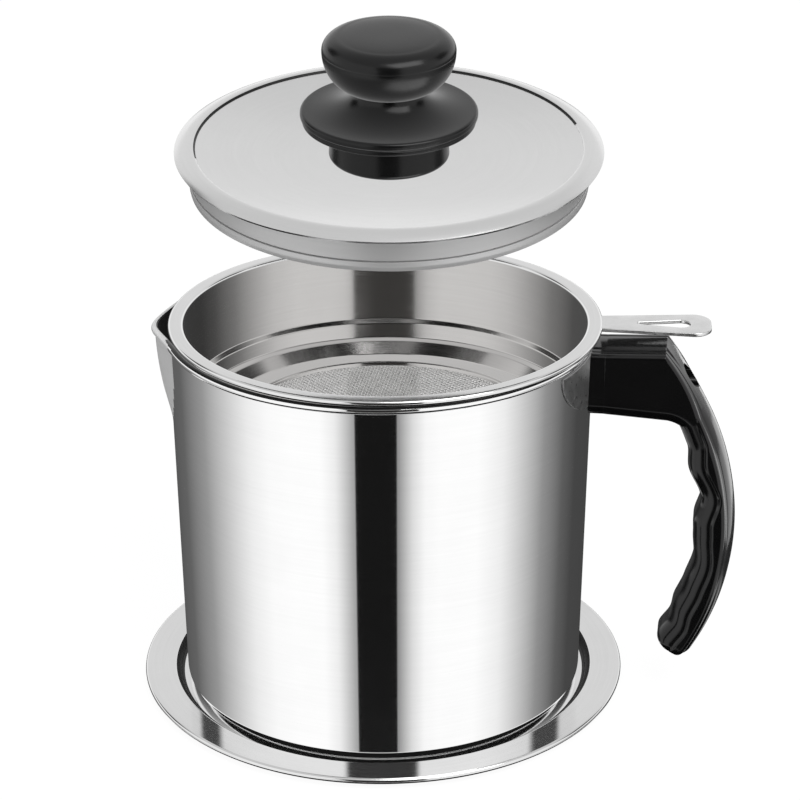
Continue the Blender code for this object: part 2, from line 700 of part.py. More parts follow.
def tab_outline():
    """Half outline of the tab, from its root at the ring to the middle of its end."""
    root = RING_RADIUS + SEAT_GAP
    end = root + TAB_LENGTH
    half_root = TAB_ROOT_WIDTH / 2
    half_end = TAB_END_WIDTH / 2
    corner = arc((end - TAB_CORNER_RADIUS, half_end - TAB_CORNER_RADIUS),
                 (TAB_CORNER_RADIUS, TAB_CORNER_RADIUS), RIGHT_ANGLE, 0, 5)
    root_angle = math.asin(half_root / root)
    return arc((0, 0), (root, root), 0, root_angle, 2)[1:] + corner


def slot_outline():
    """Half outline of the teardrop slot, from its point to its round end."""
    end = RING_RADIUS + SEAT_GAP + TAB_LENGTH - SLOT_END_MARGIN
    big = SLOT_WIDTH / 2
    small = SLOT_POINT_WIDTH / 2
    point = arc((end - SLOT_LENGTH + small, 0), (small, small), 2 * RIGHT_ANGLE, RIGHT_ANGLE, 2)
    return point + arc((end - big, 0), (big, big), RIGHT_ANGLE, 0, 4)


def strainer_tab(parts):
    """Flat tab for lifting the strainer, with a slot to hang it by."""
    curve = bpy.data.curves.new("strainer_tab", "CURVE")
    curve.dimensions = "2D"
    curve.fill_mode = "BOTH"
    curve.extrude = TAB_SHEET / 2
    outline = tab_outline()
    root = Vector((RING_RADIUS + SEAT_GAP, 0))
    mirrored = [Vector((point.x, -point.y)) for point in outline[::-1]]
    slot = slot_outline()
    slot_mirrored = [Vector((point.x, -point.y)) for point in slot[-2:0:-1]]
    for loop in ([root] + outline + mirrored, slot + slot_mirrored):
        spline = curve.splines.new("POLY")
        spline.points.add(len(loop) - 1)
        for target, point in zip(spline.points, loop):
            target.co = (point.x, point.y, 0, 1)
        spline.use_cyclic_u = True
    drawn = bpy.data.objects.new("strainer_tab_outline", curve)
    parts.objects.link(drawn)
    graph = bpy.context.evaluated_depsgraph_get()
    mesh = bpy.data.meshes.new_from_object(drawn.evaluated_get(graph))
    bpy.data.objects.remove(drawn, do_unlink=True)
    plate = bmesh.new()
    plate.from_mesh(mesh)
    bpy.data.meshes.remove(mesh)
    bmesh.ops.remove_doubles(plate, verts=plate.verts, dist=MERGE_DISTANCE)
    obj = from_bmesh("strainer_tab", plate, parts)
    obj.rotation_euler = (0, 0, TAB_BEARING)
    obj.location = (0, 0, RING_HEIGHT)
    return steel(obj, 0.6, 0.25)


def lid_plate(parts):
    """Lid sheet: dished middle, low wall round it and a rim that slopes down to its edge."""
    hole = LID_SCREW_HOLE / 2
    face = []
    for i in range(DISH_STEPS):
        radius = hole + (LID_FOOT_RADIUS - hole) * i / DISH_STEPS
        face.append(Vector((radius, lid_dish(radius))))
    wall = (LID_WALL_RUN, LID_WALL_DROP)
    face += arc((LID_CREST_RADIUS, LID_FOOT_TOP), wall, 2 * RIGHT_ANGLE, RIGHT_ANGLE, 3)
    for i in range(1, RIM_STEPS + 1):
        share = i / RIM_STEPS
        rise = LID_RIM_RISE * (1 - share * share)
        face.append(Vector((LID_CREST_RADIUS + LID_RIM_WIDTH * share, LID_EDGE_TOP + rise)))
    under = offset_path(face, LID_SHEET)
    under[0].x = hole
    obj = turned("lid_plate", face + under[::-1], RING_SEGMENTS, parts)
    return steel(obj, 0.66, 0.22)


def lid_skirt(parts):
    """Skirt that keeps the lid in the strainer's ring, with its lower edge hemmed."""
    top = LID_FOOT_TOP - LID_SHEET - SEAT_GAP
    outer = LID_CREST_RADIUS + SEAT_GAP
    inner = outer - SKIRT_SHEET
    low = top - SKIRT_DEPTH
    hem = low + HEM_HEIGHT
    profile = [(outer, top), (outer, hem + HEM_PROUD), (outer + HEM_PROUD, hem),
               (outer + HEM_PROUD, low + HEM_PROUD), (outer, low), (inner, low),
               (inner - HEM_PROUD, low + HEM_PROUD), (inner - HEM_PROUD, hem), (inner, hem + HEM_PROUD),
               (inner, top)]
    return steel(turned("lid_skirt", profile, RING_SEGMENTS, parts), 0.6, 0.25)


def knob_collar(parts):
    """Spacer between the lid and the knob, widest near its rounded foot."""
    bore = SCREW_DIAMETER / 2 + SEAT_GAP
    foot = knob_foot()
    top = foot + COLLAR_HEIGHT
    centre = (COLLAR_RADIUS - COLLAR_EDGE, foot + COLLAR_EDGE)
    edge = arc(centre, (COLLAR_EDGE, COLLAR_EDGE), 0, -RIGHT_ANGLE, 2)
    profile = [(COLLAR_RADIUS - COLLAR_TAPER, top)] + edge + [(bore, foot), (bore, top)]
    return black_plastic(turned("knob_collar", profile, KNOB_SEGMENTS, parts), 0.4)


def ring_foot():
    """Underside of the knob's base ring."""
    return knob_foot() + COLLAR_HEIGHT + SEAT_GAP


def knob_base_ring(parts):
    """Thin ring under the knob's rim."""
    bore = SCREW_DIAMETER / 2 + SEAT_GAP
    low = ring_foot()
    high = low + BASE_RING_HEIGHT
    edge = BASE_RING_EDGE
    outer = BASE_RING_RADIUS
    profile = [(outer - edge, high), (outer, high - edge), (outer, low + edge), (outer - edge, low),
               (bore, low), (bore, high)]
    return black_plastic(turned("knob_base_ring", profile, KNOB_SEGMENTS, parts), 0.35)


def grip_foot():
    """Underside of the knob's bell."""
    return ring_foot() + BASE_RING_HEIGHT + SEAT_GAP


def knob_grip(parts):
    """Mushroom head, neck and bell in one moulding, with a pocket for the insert."""
    foot = grip_foot()
    rim_top = foot + KNOB_RIM_HEIGHT
    neck = foot + KNOB_BELL_HEIGHT
    widest = neck + KNOB_HEAD_BELLY
    top = widest + KNOB_HEAD_SHOULDER
    lip = (KNOB_LIP, KNOB_LIP)
    bell_edge = KNOB_RIM_RADIUS - KNOB_LIP
    profile = [Vector((0, top + KNOB_CROWN))]
    profile += arc((KNOB_TOP_RADIUS, widest), (KNOB_HEAD_RADIUS - KNOB_TOP_RADIUS, KNOB_HEAD_SHOULDER),
                   RIGHT_ANGLE, 0, 4)
    profile += arc((KNOB_NECK_RADIUS, widest), (KNOB_HEAD_RADIUS - KNOB_NECK_RADIUS, KNOB_HEAD_BELLY),
                   0, -RIGHT_ANGLE, 5)[1:]
    profile += arc((bell_edge, neck), (bell_edge - KNOB_NECK_RADIUS, neck - rim_top),
                   -2 * RIGHT_ANGLE, -RIGHT_ANGLE, 5)[1:]
    profile += arc((bell_edge, rim_top - KNOB_LIP), lip, RIGHT_ANGLE, 0, 2)[1:]
    pocket = INSERT_RADIUS + SEAT_GAP
    pocket_top = foot + INSERT_LENGTH + SEAT_GAP
    profile += [Vector((KNOB_RIM_RADIUS, foot + KNOB_LIP / 2)), Vector((bell_edge, foot)),
                Vector((pocket, foot)), Vector((pocket, pocket_top)), Vector((0, pocket_top))]
    return black_plastic(turned("knob_grip", profile, KNOB_SEGMENTS, parts), 0.35)


def knob_insert(parts):
    """Threaded insert inside the knob."""
    low = grip_foot()
    high = low + INSERT_LENGTH
    bore = INSERT_BORE / 2
    profile = [(INSERT_RADIUS, high), (INSERT_RADIUS, low), (bore, low), (bore, high)]
    return paint(turned("knob_insert", profile, SCREW_SEGMENTS, parts), (0.6, 0.42, 0.16), 0.35, 1)


def washer_top():
    """Upper face of the washer under the lid."""
    return LID_MIDDLE_TOP - LID_SHEET - SEAT_GAP


def knob_washer(parts):
    """Washer between the lid and the head of the knob's screw."""
    bore = SCREW_DIAMETER / 2 + SEAT_GAP
    high = washer_top()
    low = high - KNOB_WASHER_SHEET
    profile = [(KNOB_WASHER_RADIUS, high), (KNOB_WASHER_RADIUS, low), (bore, low), (bore, high)]
    return steel(turned("knob_washer", profile, SCREW_SEGMENTS, parts), 0.5, 0.35)


def knob_screw(parts):
    """Screw from under the lid into the knob's insert."""
    seat = washer_top() - KNOB_WASHER_SHEET - SEAT_GAP
    low = seat - KNOB_SCREW_HEAD_HEIGHT
    end = grip_foot() + KNOB_SCREW_REACH
    radius = SCREW_DIAMETER / 2
    rounding = KNOB_SCREW_HEAD_ROUND
    profile = [(0, end), (radius, end), (radius, seat), (KNOB_SCREW_HEAD_RADIUS, seat),
               (KNOB_SCREW_HEAD_RADIUS, low + rounding), (KNOB_SCREW_HEAD_RADIUS - rounding, low), (0, low)]
    return steel(turned("knob_screw", profile, SCREW_SEGMENTS, parts), 0.55, 0.3)


def lift_empty(name, shift, height, pieces, parts):
    """Empty that carries pieces which lift straight up, shifted along X off the pot's axis."""
    empty = bpy.data.objects.new(name, None)
    parts.objects.link(empty)
    empty.location = (shift, 0, height)
    for piece in pieces:
        piece.parent = empty
        piece.location.z -= height


def lid_pivot(pieces, parts):
    """Empty on the far axis about which a hand lifts and tips the lid, turned to where it is open."""
    pivot = bpy.data.objects.new("lid_pivot", None)
    parts.objects.link(pivot)
    away = Vector((math.cos(LID_LIFT_BEARING), math.sin(LID_LIFT_BEARING), 0))
    place = away * LID_LIFT_ARM
    place.z = LID_EDGE_TOP
    level = Vector((-away.y, away.x, 0))
    axis = level * math.cos(LID_AXIS_DIP)
    axis.z = -math.sin(LID_AXIS_DIP)
    pivot.matrix_world = Matrix.Translation(place) @ Matrix.Rotation(LID_TILT, 4, axis)
    for piece in pieces:
        piece.parent = pivot
        piece.location = -place


def main():
    clear_scene()
    parts = new_collection("oil_strainer_pot")
    cutters = new_collection("cutters")
    cutters.hide_render = True
    tray(parts)
    pot = [pot_body(parts), saddle_plate(parts), saddle_boss(parts), handle_ferrule(parts, cutters),
           handle_grip(parts, cutters), handle_screw(parts), handle_washer(parts)]
    strainer = [strainer_cup(parts), mesh_clamp(parts), strainer_mesh(parts, cutters), mesh_frame(parts),
                strainer_tab(parts)]
    lid = [lid_plate(parts), lid_skirt(parts), knob_collar(parts), knob_base_ring(parts), knob_grip(parts),
           knob_insert(parts), knob_washer(parts), knob_screw(parts)]
    lift_empty("pot_lift", 0, POT_FLOOR, pot, parts)
    lift_empty("strainer_lift", STRAINER_SHIFT, RING_HEIGHT, strainer, parts)
    lid_pivot(lid, parts)


main()
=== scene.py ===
"""Studio scene of the oil strainer pot.

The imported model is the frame. Each piece here is a finer mesh of one of its solids, in metres and
in the same place, with its finish. The stage adds the floor, the light and the camera.
"""

import json
import math

import bmesh
import bpy
from bpy.props import FloatProperty, FloatVectorProperty, PointerProperty
from bpy.types import Operator, Panel, PropertyGroup
from mathutils import Matrix, Vector


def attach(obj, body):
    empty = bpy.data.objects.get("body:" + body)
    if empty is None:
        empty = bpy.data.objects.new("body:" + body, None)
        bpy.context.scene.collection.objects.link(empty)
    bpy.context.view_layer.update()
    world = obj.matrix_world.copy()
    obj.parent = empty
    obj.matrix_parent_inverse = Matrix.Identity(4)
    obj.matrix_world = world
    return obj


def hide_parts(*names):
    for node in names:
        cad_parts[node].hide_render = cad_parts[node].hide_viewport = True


bl_info = {
    "name": "Oil strainer pot",
    "version": (1, 0, 0),
    "blender": (4, 5, 0),
    "location": "3D View > Sidebar > Strainer pot",
    "description": "Pieces, finishes and studio of an oil strainer pot, on its packed model",
    "category": "Add Mesh",
}

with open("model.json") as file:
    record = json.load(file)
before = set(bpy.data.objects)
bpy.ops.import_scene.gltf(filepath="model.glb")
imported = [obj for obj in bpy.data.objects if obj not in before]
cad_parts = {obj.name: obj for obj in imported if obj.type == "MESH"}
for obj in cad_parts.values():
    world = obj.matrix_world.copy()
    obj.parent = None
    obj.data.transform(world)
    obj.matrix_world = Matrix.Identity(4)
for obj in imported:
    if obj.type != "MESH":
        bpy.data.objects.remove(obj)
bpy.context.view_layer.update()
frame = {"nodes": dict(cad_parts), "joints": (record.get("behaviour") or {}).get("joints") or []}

MM = 0.001
DEGREE = math.pi / 180
RIGHT_ANGLE = math.pi / 2
HALF_TURN = math.pi
FULL_TURN = 2 * math.pi

# Modelling. The solids are a seat gap apart, and the shown pieces close up to a third of it.
SEAT_GAP = 0.3 * MM
SHOWN_GAP = SEAT_GAP / 3
ARC_STEP = 10 * DEGREE
SHARP_ANGLE = 40 * DEGREE
NORMAL_WEIGHT = 60
EASE_SEGMENTS = 3
CUT_OVERRUN = 4 * MM
WELD_DISTANCE = 0.01 * MM
POT_SEGMENTS = 288
RING_SEGMENTS = 240
KNOB_SEGMENTS = 160
SCREW_SEGMENTS = 64

# Steps of the round edges
POINT_STEPS = 5
LIP_STEPS = 6
EDGE_STEPS = 8
CREST_STEPS = 10
BAND_STEPS = 12
CORNER_STEPS = 14
SHOULDER_STEPS = 16
BEAD_STEPS = 20
ROLL_STEPS = 22
BELL_STEPS = 24

# Pot and its spout
POT_RIM_RADIUS = 64.75 * MM
POT_BASE_RADIUS = 62.65 * MM
POT_HEIGHT = 117.15 * MM
POT_FLOOR = 0.9 * MM
POT_WALL = 0.8 * MM
POT_CORNER_RADIUS = 3.5 * MM
RIM_BEAD_RADIUS = 1.15 * MM
RIM_BEAD_HEIGHT = POT_FLOOR + POT_HEIGHT - RIM_BEAD_RADIUS
SPOUT_REACH = 5.5 * MM
SPOUT_LENGTH = 28 * MM
SPOUT_DIP = 3 * MM
SPOUT_TIP_ANGLE = 5.5 * DEGREE
SPOUT_LEVELS = 40
# Where the wall counts as spout: for the spout's satin finish, and for the painted shade inside it
SPOUT_FINISH_PUSH = 0.12 * MM
SPOUT_FINISH_LIFT = SPOUT_DIP / 4
# Height above which the rim bead is given painted shade under the strainer's ring
BEAD_SHADOW_FOOT = 117.6 * MM
REFLECTED_HEIGHT = 36 * MM

# Tray
TRAY_SHEET = 0.6 * MM
TRAY_HEIGHT = 3.3 * MM
TRAY_FLOOR_RADIUS = 64.6 * MM
TRAY_FOOT_FILLET = 1.4 * MM
TRAY_BROW_FILLET = 0.9 * MM
TRAY_WALL_RUN = 2 * MM
# Radii of the well round the pot's foot, which is given painted shade
WELL_SHADE_RADII = (57 * MM, 66.2 * MM)
TRAY_FLANGE_RADIUS = 75.3 * MM
TRAY_ROLL_RADIUS = 0.95 * MM

# Strainer, which lies a little off the pot's axis
STRAINER_SHIFT = 1.3 * MM
STRAINER_SHEET = 0.6 * MM
RING_FINISH_EDGE = 119.2 * MM
# Height below which the ring's underside is given painted shade
RING_SHADOW_TOP = 118.8 * MM
CUP_OUTSIDE = 62.5 * MM
RING_RADIUS = 66 * MM
RING_ROLL_RADIUS = 0.95 * MM
RING_TOP = 120.25 * MM
RING_HEIGHT = RING_TOP - RING_ROLL_RADIUS
# Inner face from the mesh's edge to the ring, as (radius, height, fillet) in millimetres
CUP_FACE = ((49.0, 83.0, 0), (54.6, 83.0, 0.3), (54.6, 85.5, 0.5), (57.6, 89.0, 0.8), (59.8, 89.3, 0.5),
            (59.8, 94.3, 0.9), (61.0, 95.6, 0.7), (61.3, 120.25, 1.0), (65.05, 120.25, 0))
CLAMP_RADII = (47 * MM, 54.3 * MM)
CLAMP_HEIGHTS = (83.3 * MM, 83.9 * MM)
MESH_RADIUS = 52.3 * MM
MESH_MIDDLE = 84.4 * MM
FRAME_RADII = (47 * MM, 54.3 * MM)
FRAME_HEIGHTS = (84.9 * MM, 85.5 * MM)
FRAME_BEAD_RADIUS = 0.8 * MM
TAB_BEARING = 4 * DEGREE
TAB_SHEET = 1.2 * MM
TAB_EASE = 0.35 * MM
TAB_ROOT_LAP = 0.4 * MM
TAB_END = 98.7 * MM
TAB_ROOT_WIDTH = 10.8 * MM
TAB_END_WIDTH = 16 * MM
TAB_CORNER_RADIUS = 5.5 * MM
SLOT_END = 92.4 * MM
SLOT_LENGTH = 16.1 * MM
SLOT_WIDTH = 6 * MM
SLOT_POINT_WIDTH = 1.6 * MM

# Lid, where it closes the strainer
LID_SHEET = 0.9 * MM
LID_RADIUS = 63.25 * MM
LID_CREST_RADIUS = 58.3 * MM
LID_FOOT_RADIUS = 57 * MM
# Where the step behind the dish is given a dark line of painted shade, at the back of the lid only: its outer
# edge, its ends as bearings, its lap over the foot, its depth
LID_CREASE_EDGE = 57.55 * MM
LID_CREASE_ENDS = (21 * DEGREE, 200 * DEGREE)
LID_CREASE_LAP = 0.05 * MM
LID_CREASE_DEPTH = 0.1 * MM
LID_EASE = 0.25 * MM
LID_EASE_ANGLE = 60 * DEGREE
LID_EDGE_TOP = 121.45 * MM
LID_CREST_TOP = 123.15 * MM
LID_FOOT_TOP = 122.4 * MM
LID_DISH_DEPTH = 4.7 * MM
LID_HOLE_RADIUS = 2.3 * MM
SKIRT_SHEET = 0.7 * MM
SKIRT_DEPTH = 11 * MM
HEM_HEIGHT = 2.85 * MM
HEM_PROUD = 0.5 * MM
HEM_SHOULDER_SHARE = 0.7
HEM_FOOT_SHARE = 0.4
HEM_GROOVE_HEIGHT = 0.3 * MM
HEM_GROOVE_STEP = 0.05 * MM
# Fillets from the skirt's top outside, round the hem, to its top inside, in millimetres
SKIRT_FILLETS = (0, 0.1, 0, 0.15, 2, 0.3, 0.3, 1, 0.2, 0.2, 0)

# Knob
COLLAR_RADIUS = 17.8 * MM
COLLAR_TAPER = 0.6 * MM
COLLAR_HEIGHT = 10.9 * MM
COLLAR_EDGE = 1.6 * MM
BASE_RING_RADIUS = 25.5 * MM
BASE_RING_HEIGHT = 1.5 * MM
BASE_RING_ROUND = 0.5 * MM
KNOB_RIM_RADIUS = 26.1 * MM
KNOB_RIM_HEIGHT = 2.2 * MM
KNOB_LIP = 1 * MM
KNOB_NECK_RADIUS = 10 * MM
KNOB_BELL_HEIGHT = 8.95 * MM
KNOB_HEAD_RADIUS = 19.55 * MM
KNOB_HEAD_BELLY = 11.4 * MM
KNOB_HEAD_SHOULDER = 4.5 * MM
KNOB_TOP_RADIUS = 14.3 * MM
KNOB_CROWN = 0.5 * MM
KNOB_CROWN_SHARES = (0.3, 0.55, 0.75, 0.88, 0.96)
PARTING_ANGLES = (2 * DEGREE, -1.5 * DEGREE)
INSERT_POCKET_RADIUS = 4.3 * MM
INSERT_POCKET_DEPTH = 13.8 * MM
KNOB_WASHER_SHEET = 1 * MM
KNOB_WASHER_RADII = (2.3 * MM, 6.5 * MM)
KNOB_WASHER_ROUND = 0.2 * MM
KNOB_SCREW_HEAD_HEIGHT = 2.4 * MM
KNOB_SCREW_HEAD_RADIUS = 4.2 * MM
KNOB_SCREW_ROUND = 1.3 * MM
KNOB_SCREW_REACH = 11.5 * MM
KNOB_SCREW_RECESS = (4 * MM, 1.4 * MM)

# Saddle and handle
SADDLE_SHEET = 0.8 * MM
SADDLE_SHOWN_SHEET = 0.4 * MM
SADDLE_EASE = 0.15 * MM
SADDLE_EASE_ANGLE = 50 * DEGREE
SADDLE_HALF_ANGLE = 27 * DEGREE
SADDLE_HEIGHT = 17.5 * MM
SADDLE_DROP = 3.6 * MM
SADDLE_END_SHARE = 0.08
SADDLE_ROWS = 16
SADDLE_COLUMNS = 72
HANDLE_THICKNESS = 19 * MM
HANDLE_PROJECTION = 45.05 * MM
HANDLE_BACK_RADIUS = 86.2 * MM
HANDLE_BACK_ROUND = 1.6 * MM
GRIP_CROWN = 2.6 * MM
ARM_CROWN = 0.2 * MM
ARM_JOINT = 0.02 * MM
ARM_END_STEP = 0.3 * MM
RIB_FADE = 3
FERRULE_LENGTH = 2.8 * MM
FERRULE_INSET = 0.03 * MM
FERRULE_RIB = 0.55
FERRULE_SECTIONS = (0, 0.5, 1)
ARM_TOP = 115.5 * MM
ARM_BOTTOM = 92.85 * MM
ARM_ROOT_TOP = 114.8 * MM
ARM_ROOT_BOTTOM = 93.9 * MM
ARM_LENGTH = 17.95 * MM
GRIP_DEPTH = 13 * MM
GRIP_TIP_ANGLE = -29.5 * DEGREE
GRIP_TIP_ROUND = 3.5 * MM
GRIP_TIP_TURN = 85 * DEGREE
KNEE_ANGLE = 27 * DEGREE
KNEE_LENGTH_SHARE = 1.1
KNEE_SECTIONS = 26
GRIP_SECTIONS = 120
TIP_SECTIONS = 9
# Depth of the grip from its knee to its tip, as (share of its length, share of the full depth)
FINGER_SHARES = ((0.0, 0.77), (0.09, 0.79), (0.2, 0.93), (0.33, 0.78), (0.45, 0.98), (0.5, 0.97),
                 (0.63, 0.88), (0.75, 0.94), (0.85, 0.98), (0.93, 0.9), (1.0, 0.94))
GROOVE_START_SHARE = 0.12
FINGER_BAND = 4.6 * MM
FINGER_BAND_WIDTH = 5.6 * MM
# Groove above the finger side, as (millimetres from the finger side, share of its depth)
FINGER_LIP = ((5.2, 1.05), (5.5, 1.0), (5.8, 0.55), (6.1, 0.05), (6.4, -0.06), (6.9, 0.0))
# Back from its rounded edge to its middle, as (millimetres from the middle, share of line, share of rib)
BACK_PROFILE = ((7.2, 0, 0), (7.0, 1, 0), (6.5, 1, 0), (6.3, 0, 0), (4.9, 0, 0), (4.7, 0, 0.15),
                (4.3, 0, 0.85), (4.1, 0, 1), (2.0, 0, 1), (0, 0, 1))
BOSS_HEIGHT = 105.65 * MM
BOSS_LENGTH = 17 * MM
BOSS_POCKET_RADIUS = 4.8 * MM
COUNTERBORE_RADIUS = 3.6 * MM
HANDLE_WASHER_SHEET = 0.8 * MM
SCREW_RADIUS = 2 * MM
SCREW_SHANK = 12 * MM
SCREW_HEAD_HEIGHT = 2.2 * MM
SCREW_HEAD_RADIUS = 3.1 * MM
SCREW_HEAD_CROWN = 0.25 * MM
SCREW_HEAD_ROUND = 1.2 * MM
SCREW_RECESS = (3.2 * MM, 1.3 * MM)
RECESS_PROPORTION = 4

# Relief and evenness of the node groups: noise detail and roughness, and the range of noise that is used
MARKS_NOISE = (3, 0.65)
MARKS_RANGE = (0.3, 0.7)
CLOUD_NOISE = (4, 0.55)
CLOUD_RANGE = (0.32, 0.68)
RELIEF = 0.05 * MM
GRAIN_RELIEF = 0.04 * MM

# Turned steels: roughness, marks per metre, share by which they vary it, strength of the relief
RING_TURNING = (0.08, 2600, 0.4, 0.02)
SPOUT_TURNING = (0.38, 1800, 0.2, 0.05)
TRAY_TURNING = (0.1, 2600, 0.4, 0.06)
LID_TURNING = (0.2, 2800, 0.2, 0.02)
SKIRT_TURNING = (0.36, 2400, 0.2, 0.05)
# Painted shade, in tight gaps and in the lid's step:
SHADOW_TURNING = (0.35, 2000, 0.2, 0.05)
CREASE_SHADE_TURNING = (0.4, 2000, 0.2, 0.05)
# The same without the roughness, which is a property
POLISHING = (2200, 0.25, 0.01)
BRUSHING = (3200, 0.3, 0.1)
BRUSHED_ANISOTROPY = 0.5
BRUSHED_ROTATION = 0.25
TONE_VARIATION = 0.12
PATCH_VARIATION = 0.08

# Plain metals: roughness, patches per metre
SADDLE_SURFACE = (0.35, 900)
FIXING_SURFACE = (0.45, 900)
TAB_SURFACE = (0.2, 400)
WIRE_SURFACE = (0.3, 700)
BRASS_SURFACE = (0.35, 800)
# Range of their gloss as shares of the roughness, darkest tone, size of the tone's patches, relief
METAL_GLOSS = (0.75, 1.3)
METAL_TONE = 0.86
METAL_TONE_SIZE = 3
METAL_RELIEF = 0.15

# Moulded plastics: roughness, grains per metre, strength of the relief, specular level
HANDLE_MOULDING = (0.14, 1800, 0.1, 0.4)
KNOB_MOULDING = (0.22, 2600, 0.2, 0.3)
PLASTIC_GLOSS = (0.85, 1.2)
PLASTIC_PATCHES = 90
PLASTIC_TONE = 0.8

SPOUT_METALLIC = 0.4
SKIRT_METALLIC = 0.5
SADDLE_COLOUR = (0.3, 0.3, 0.3)
# Painted shade where no light gets in between close parts
SHADOW_COLOUR = (0.02, 0.02, 0.02)
# Painted shade in the step at the back of the lid
CREASE_SHADE_COLOUR = (0.03, 0.03, 0.03)

# Camera, fitted to the photograph
CAMERA_PLACE = (0.10534, -0.70893, 0.40084)
CAMERA_RIGHT = (0.9905, 0.1377, -0.0034)
CAMERA_UP = (-0.0514, 0.392, 0.9185)
CAMERA_BEARING = -82 * DEGREE
SENSOR_WIDTH = 36

# Floor and lamps
FLOOR_REACH = 6
FLOOR_DROP = 0.05 * MM
LAMP_SIZE = (0.9, 0.6)
LAMP_ENERGY = 6
LAMP_PLACE = (0.5, -0.5, 1.1)
LAMP_AIM = (0, 0, 0.1)
# White table behind the handle
TABLE_SIZE = 0.7
TABLE_PLACE = (0.54, 0.36, 0.002)

# What the steel mirrors, as (bearing in degrees to the right of the camera's own, brightness).
# Below the horizon, two softboxes flank a narrow black card at the camera and fall off into dark screens
# behind the pot. Above it, the lid and the rings mirror softboxes with dark gaps between them.
LOW_STUDIO = ((-180, 0.07), (-140, 0.12), (-113, 0.3), (-95, 0.56), (-77, 0.85), (-64, 0.97), (-50, 1),
              (-33, 1), (-25, 0.86), (-15, 0.37), (9, 0.28), (17, 0.72), (24, 0.95), (32, 1), (54, 1),
              (70, 0.86), (84, 0.58), (100, 0.28), (119, 0.11), (135, 0.06), (180, 0.05))
HIGH_STUDIO = ((-180, 0.77), (-140, 0.77), (-133, 0.07), (-113, 0.07), (-107, 0.85), (-60, 1), (-22, 1),
               (-20, 0.04), (19, 0.04), (21, 1), (60, 1), (93, 0.85), (98, 0.07), (122, 0.07), (128, 0.77),
               (180, 0.77))
CARD_EDGES = (-14.1, 8.4)
WIDE_CARD_EDGES = (-17, 19)
CARD_SOFTNESS = 0.15
# Elevations in degrees over which one part of the studio goes over into the next
BLACK_TO_LINE = (-40.5, -38.5)
LINE_TO_LOW = (-36, -34.5)
NARROW_TO_WIDE = (-23.3, -22.7)
LOW_TO_LEVEL = (-10, 0)
LEVEL_TO_HIGH = (15, 21)
HIGH_TO_TOP = (33, 46)
CARD_COLOUR = (0.008, 0.008, 0.008)
WIDE_CARD_COLOUR = (0.07, 0.068, 0.065)
LINE_COLOUR = (0.95, 0.95, 0.95)
TOP_COLOUR = (0.66, 0.66, 0.66)


class PotDetails(PropertyGroup):
    """Sizes of the small details."""

    wire_pitch: FloatProperty(name="Wire pitch", description="Distance between the mesh's wires",
                              default=1 * MM, min=0.8 * MM, unit="LENGTH")
    wire_radius: FloatProperty(name="Wire radius", description="Radius of the mesh's wires",
                               default=0.2 * MM, min=0.05 * MM, unit="LENGTH")
    groove_depth: FloatProperty(name="Grip groove", description="Depth of the groove along the finger side",
                                default=0.9 * MM, min=0, max=1.5 * MM, unit="LENGTH")
    arm_rib_height: FloatProperty(name="Arm rib", description="Height of the flat rib on top of the arm",
                                  default=0.8 * MM, min=0, max=2 * MM, unit="LENGTH")
    back_line: FloatProperty(name="Back line", description="Depth of the two lines along the handle's back",
                             default=0.3 * MM, min=0, max=1 * MM, unit="LENGTH")
    parting_line: FloatProperty(name="Parting line", description="Depth of the moulding line round the knob",
                                default=0.12 * MM, min=0, max=0.4 * MM, unit="LENGTH")
    hem_groove: FloatProperty(name="Hem groove", description="Depth of the groove above the skirt's hem",
                              default=0.35 * MM, min=0, max=0.5 * MM, unit="LENGTH")


class PotFinishes(PropertyGroup):
    """Colours and roughness of the finishes."""

    polished: FloatVectorProperty(name="Polished steel", description="Colour of the pot", subtype="COLOR",
                                  default=(0.93, 0.93, 0.93), min=0, max=1)
    polished_roughness: FloatProperty(name="Polish", description="Roughness of the pot", default=0.05,
                                      min=0, max=1)
    brushed: FloatVectorProperty(name="Brushed steel", description="Colour of the strainer", subtype="COLOR",
                                 default=(0.53, 0.52, 0.51), min=0, max=1)
    brushed_roughness: FloatProperty(name="Brushing", description="Roughness of the strainer", default=0.13,
                                     min=0, max=1)
    tray: FloatVectorProperty(name="Tray steel", description="Colour of the tray", subtype="COLOR",
                              default=(0.8, 0.8, 0.8), min=0, max=1)
    lid: FloatVectorProperty(name="Lid steel", description="Colour of the lid", subtype="COLOR",
                             default=(0.78, 0.78, 0.78), min=0, max=1)
    wire: FloatVectorProperty(name="Wire", description="Colour of the mesh's wires", subtype="COLOR",
                              default=(0.85, 0.84, 0.83), min=0, max=1)
    fixing: FloatVectorProperty(name="Fixings", description="Colour of screws, washers and boss",
                                subtype="COLOR", default=(0.55, 0.55, 0.55), min=0, max=1)
    insert: FloatVectorProperty(name="Insert", description="Colour of the knob's brass insert",
                                subtype="COLOR", default=(0.62, 0.45, 0.2), min=0, max=1)
    handle: FloatVectorProperty(name="Handle plastic", description="Colour of the glossy handle",
                                subtype="COLOR", default=(0.003, 0.003, 0.0032), min=0, max=1)
    knob: FloatVectorProperty(name="Knob plastic", description="Colour of the satin knob", subtype="COLOR",
                              default=(0.005, 0.005, 0.0052), min=0, max=1)


